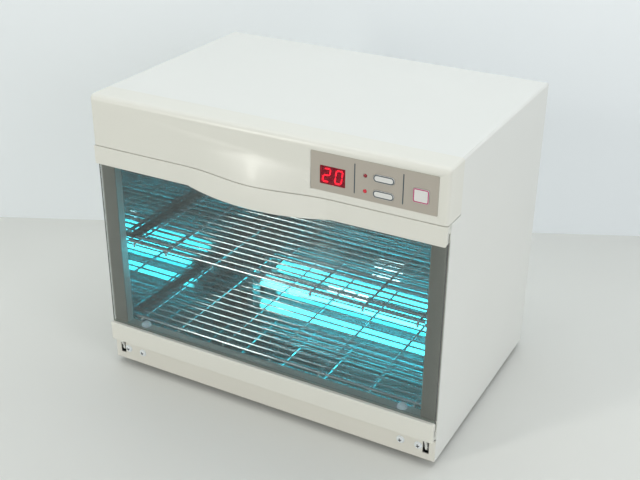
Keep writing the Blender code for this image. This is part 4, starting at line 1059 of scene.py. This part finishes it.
def make_figures(text):
    module_low, module_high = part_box("display_module")
    centre = (module_low + module_high) / 2
    shape = bmesh.new()
    for place, figure in enumerate(text):
        x = centre.x + figure_shift + figure_pitch * (place - (len(text) - 1) / 2)
        for outline in figure_bars(figure):
            leaning = [(point.x + point.y * figure_lean, point.y) for point in outline]
            add_plate(shape, leaning, x, module_low.y - bar_relief, centre.z - figure_drop, bar_relief)
    mesh = shape_to_mesh(shape, "display_figures")
    return finish_piece("display_figures", mesh, figure_glow, "cabinet")


def make_figure_glow():
    made, tree, shader = start_material("figure_glow", {
        "Roughness": 0.4, "Emission Strength": 5.0, "Emission Color": (1.0, 0.16, 0.20, 1.0)})
    toned = place_group(tree, tone_group, -2, 0, {
        "Color": (0.9, 0.2, 0.2, 1.0), "Patches per metre": 400.0, "Strength": 0.1})
    plug(tree, toned["Color"], shader.inputs["Base Color"])
    return made


def make_display_filter():
    made, tree, shader = start_material("display_filter", {
        "Roughness": 0.03, "Transmission Weight": 0.72, "IOR": 1.2})
    toned = place_group(tree, tone_group, -2, 0, {
        "Color": (0.55, 0.05, 0.09, 1.0), "Patches per metre": 90.0, "Strength": 0.05, "Roughness": 0.05})
    plug(tree, toned["Color"], shader.inputs["Base Color"])
    plug(tree, toned["Roughness"], shader.inputs["Roughness"])
    return made


module_face = skin_material(
    "module_face", colour=(0.30, 0.07, 0.08), worn=(0.35, 0.10, 0.11),
    roughness=0.5, grains=900.0, depth=fine_grain_depth)
dress(module_face, "display_module")
figure_glow = make_figure_glow()
display_filter = make_display_filter()
dress(display_filter, "display_window")
make_figures("20")

# %% [markdown]
# The studio is a pale table with a pale wall close behind it, as in the photograph, where the
# two meet in a soft line. One curved sheet would hide that line, so there are two. The wall
# would stand in the way when the object is looked at from behind, so both sheets are seen and
# cast light on their front side only: the back side is transparent. The wall is a little paler
# than its light makes it. So it gets a faint glow of its own that only the camera sees, through
# Is Camera Ray, and that doesn't light the object.

# %% Studio
table_reach = 6.0
wall_height = 2.6
wall_left = Vector((-0.6597, 0.1067, 0.0))
wall_right = Vector((0.2825, 0.5609, 0.0))
table_colour = (0.735, 0.74, 0.71)
wall_colour = (0.88, 0.92, 0.945)
wall_glow = 0.035
table_roughness = 0.5
wall_roughness = 0.6


def one_sided_material(name, colour, roughness, glow=0.0):
    made, tree, shader = start_material(name, {
        "Roughness": roughness, "Specular IOR Level": 0.2, "Emission Color": (*colour, 1.0)})
    rays = add_node(tree, "ShaderNodeLightPath", -3, 1)
    camera_glow = math_node(tree, "MULTIPLY", -1, 1, rays.outputs["Is Camera Ray"], glow)
    plug(tree, camera_glow, shader.inputs["Emission Strength"])
    toned = place_group(tree, tone_group, -2, 0, {
        "Color": (*colour, 1.0), "Patches per metre": 2.0, "Strength": faint_tone,
        "Roughness": roughness})
    plug(tree, toned["Color"], shader.inputs["Base Color"])
    surface = add_node(tree, "ShaderNodeNewGeometry", -1, -1)
    clear = add_node(tree, "ShaderNodeBsdfTransparent", 0, 2)
    choice = add_node(tree, "ShaderNodeMixShader", 1, 0)
    plug(tree, surface.outputs["Backfacing"], choice.inputs["Fac"])
    plug(tree, shader.outputs["BSDF"], choice.inputs[1])
    plug(tree, clear.outputs["BSDF"], choice.inputs[2])
    plug(tree, choice.outputs["Shader"], tree.nodes["Material Output"].inputs["Surface"])
    return made


def make_sheet(name, corners, material):
    mesh = bpy.data.meshes.new(name)
    mesh.from_pydata(corners, [], [(0, 1, 2, 3)])
    mesh.materials.append(material)
    sheet = bpy.data.objects.new(name, mesh)
    bpy.context.scene.collection.objects.link(sheet)
    print("sheet:", name)


def make_studio():
    reach = table_reach / 2
    make_sheet("table", [(-reach, -reach, 0), (reach, -reach, 0), (reach, reach, 0), (-reach, reach, 0)],
               one_sided_material("table_white", table_colour, table_roughness))
    along = (wall_right - wall_left).normalized()
    middle = (wall_left + wall_right) / 2
    left = middle - along * reach
    right = middle + along * reach
    up = Vector((0, 0, wall_height))
    make_sheet("back_wall", [left, right, right + up, left + up],
               one_sided_material("wall_white", wall_colour, wall_roughness, wall_glow))


make_studio()

# %% [markdown]
# Light: a wide soft box overhead gives the bright top, and one at the right fills the side.
# Daylight from a tall window at the front left, low over the table, is what the racks' wires and
# the handle nose mirror. A round wire that runs from side to side shows a light only where the
# light, the wire and the eye make equal angles with it. So the window's place and width say
# which stretch of the wires turns white, and its height says how much of their roundness it
# covers. Three small ceiling lamps make the hard glints in the mirror steel and on the lamp's
# glass. The lights themselves stay out of view.

# %% Light
aim_point = Vector((0.0, -0.04, 0.13))
softboxes = {
    "overhead_softbox": {
        "place": (0.07, 0.07, 2.33), "width": 2.2, "height": 1.6, "power": 25.5,
        "tint": (0.955, 0.99, 1.0)},
    "right_softbox": {"place": (1.97, -0.73, 0.82), "width": 1.6, "height": 1.4, "power": 13.5},
    "window": {
        "place": (-1.96, -3.42, 1.05), "width": 0.42, "height": 1.7, "power": 34.0,
        "tint": (1.0, 0.995, 0.905)},
    "first_ceiling_lamp": {
        "place": (-0.975, -2.155, 1.290), "width": 0.12, "height": 0.09, "power": 2.2},
    "second_ceiling_lamp": {
        "place": (1.600, -1.800, 1.140), "width": 0.06, "height": 0.05, "power": 0.8},
    "third_ceiling_lamp": {
        "place": (-1.150, -2.140, 1.430), "width": 0.17, "height": 0.10, "power": 3.4},
}


def make_softbox(name, place, width, height, power, tint=(1.0, 1.0, 1.0)):
    place = Vector(place)
    lamp = bpy.data.lights.new(name, "AREA")
    lamp.shape = "RECTANGLE"
    lamp.size = width
    lamp.size_y = height
    lamp.energy = power
    lamp.color = tint
    box = bpy.data.objects.new(name, lamp)
    bpy.context.scene.collection.objects.link(box)
    toward = (place - aim_point).normalized()
    tall = Vector((1, 0, 0)).cross(toward).normalized()
    wide = tall.cross(toward)
    turn = Matrix((wide, tall, toward)).transposed()
    box.matrix_world = Matrix.Translation(place) @ turn.to_4x4()
    box.visible_camera = False
    print("light:", name, "at", [round(v, 2) for v in place])


for softbox_name, softbox in softboxes.items():
    make_softbox(softbox_name, **softbox)

# %% [markdown]
# The world adds a weak light from all sides, as the walls of a real room do. More lamps could
# fill the shadows too, but each would show in the mirror steel. The view is set to Standard,
# because the default view softens bright tones and so shifts the colours that were chosen.

# %% World and view
world_level = 0.30
world_tint = (0.98, 1.0, 1.0, 1.0)
world = bpy.data.worlds.new("studio_world")
bpy.context.scene.world = world
world.use_nodes = True
sky = world.node_tree.nodes["Background"]
sky.inputs["Color"].default_value = world_tint
sky.inputs["Strength"].default_value = world_level
bpy.context.scene.view_settings.view_transform = "Standard"
print("world level:", world_level)
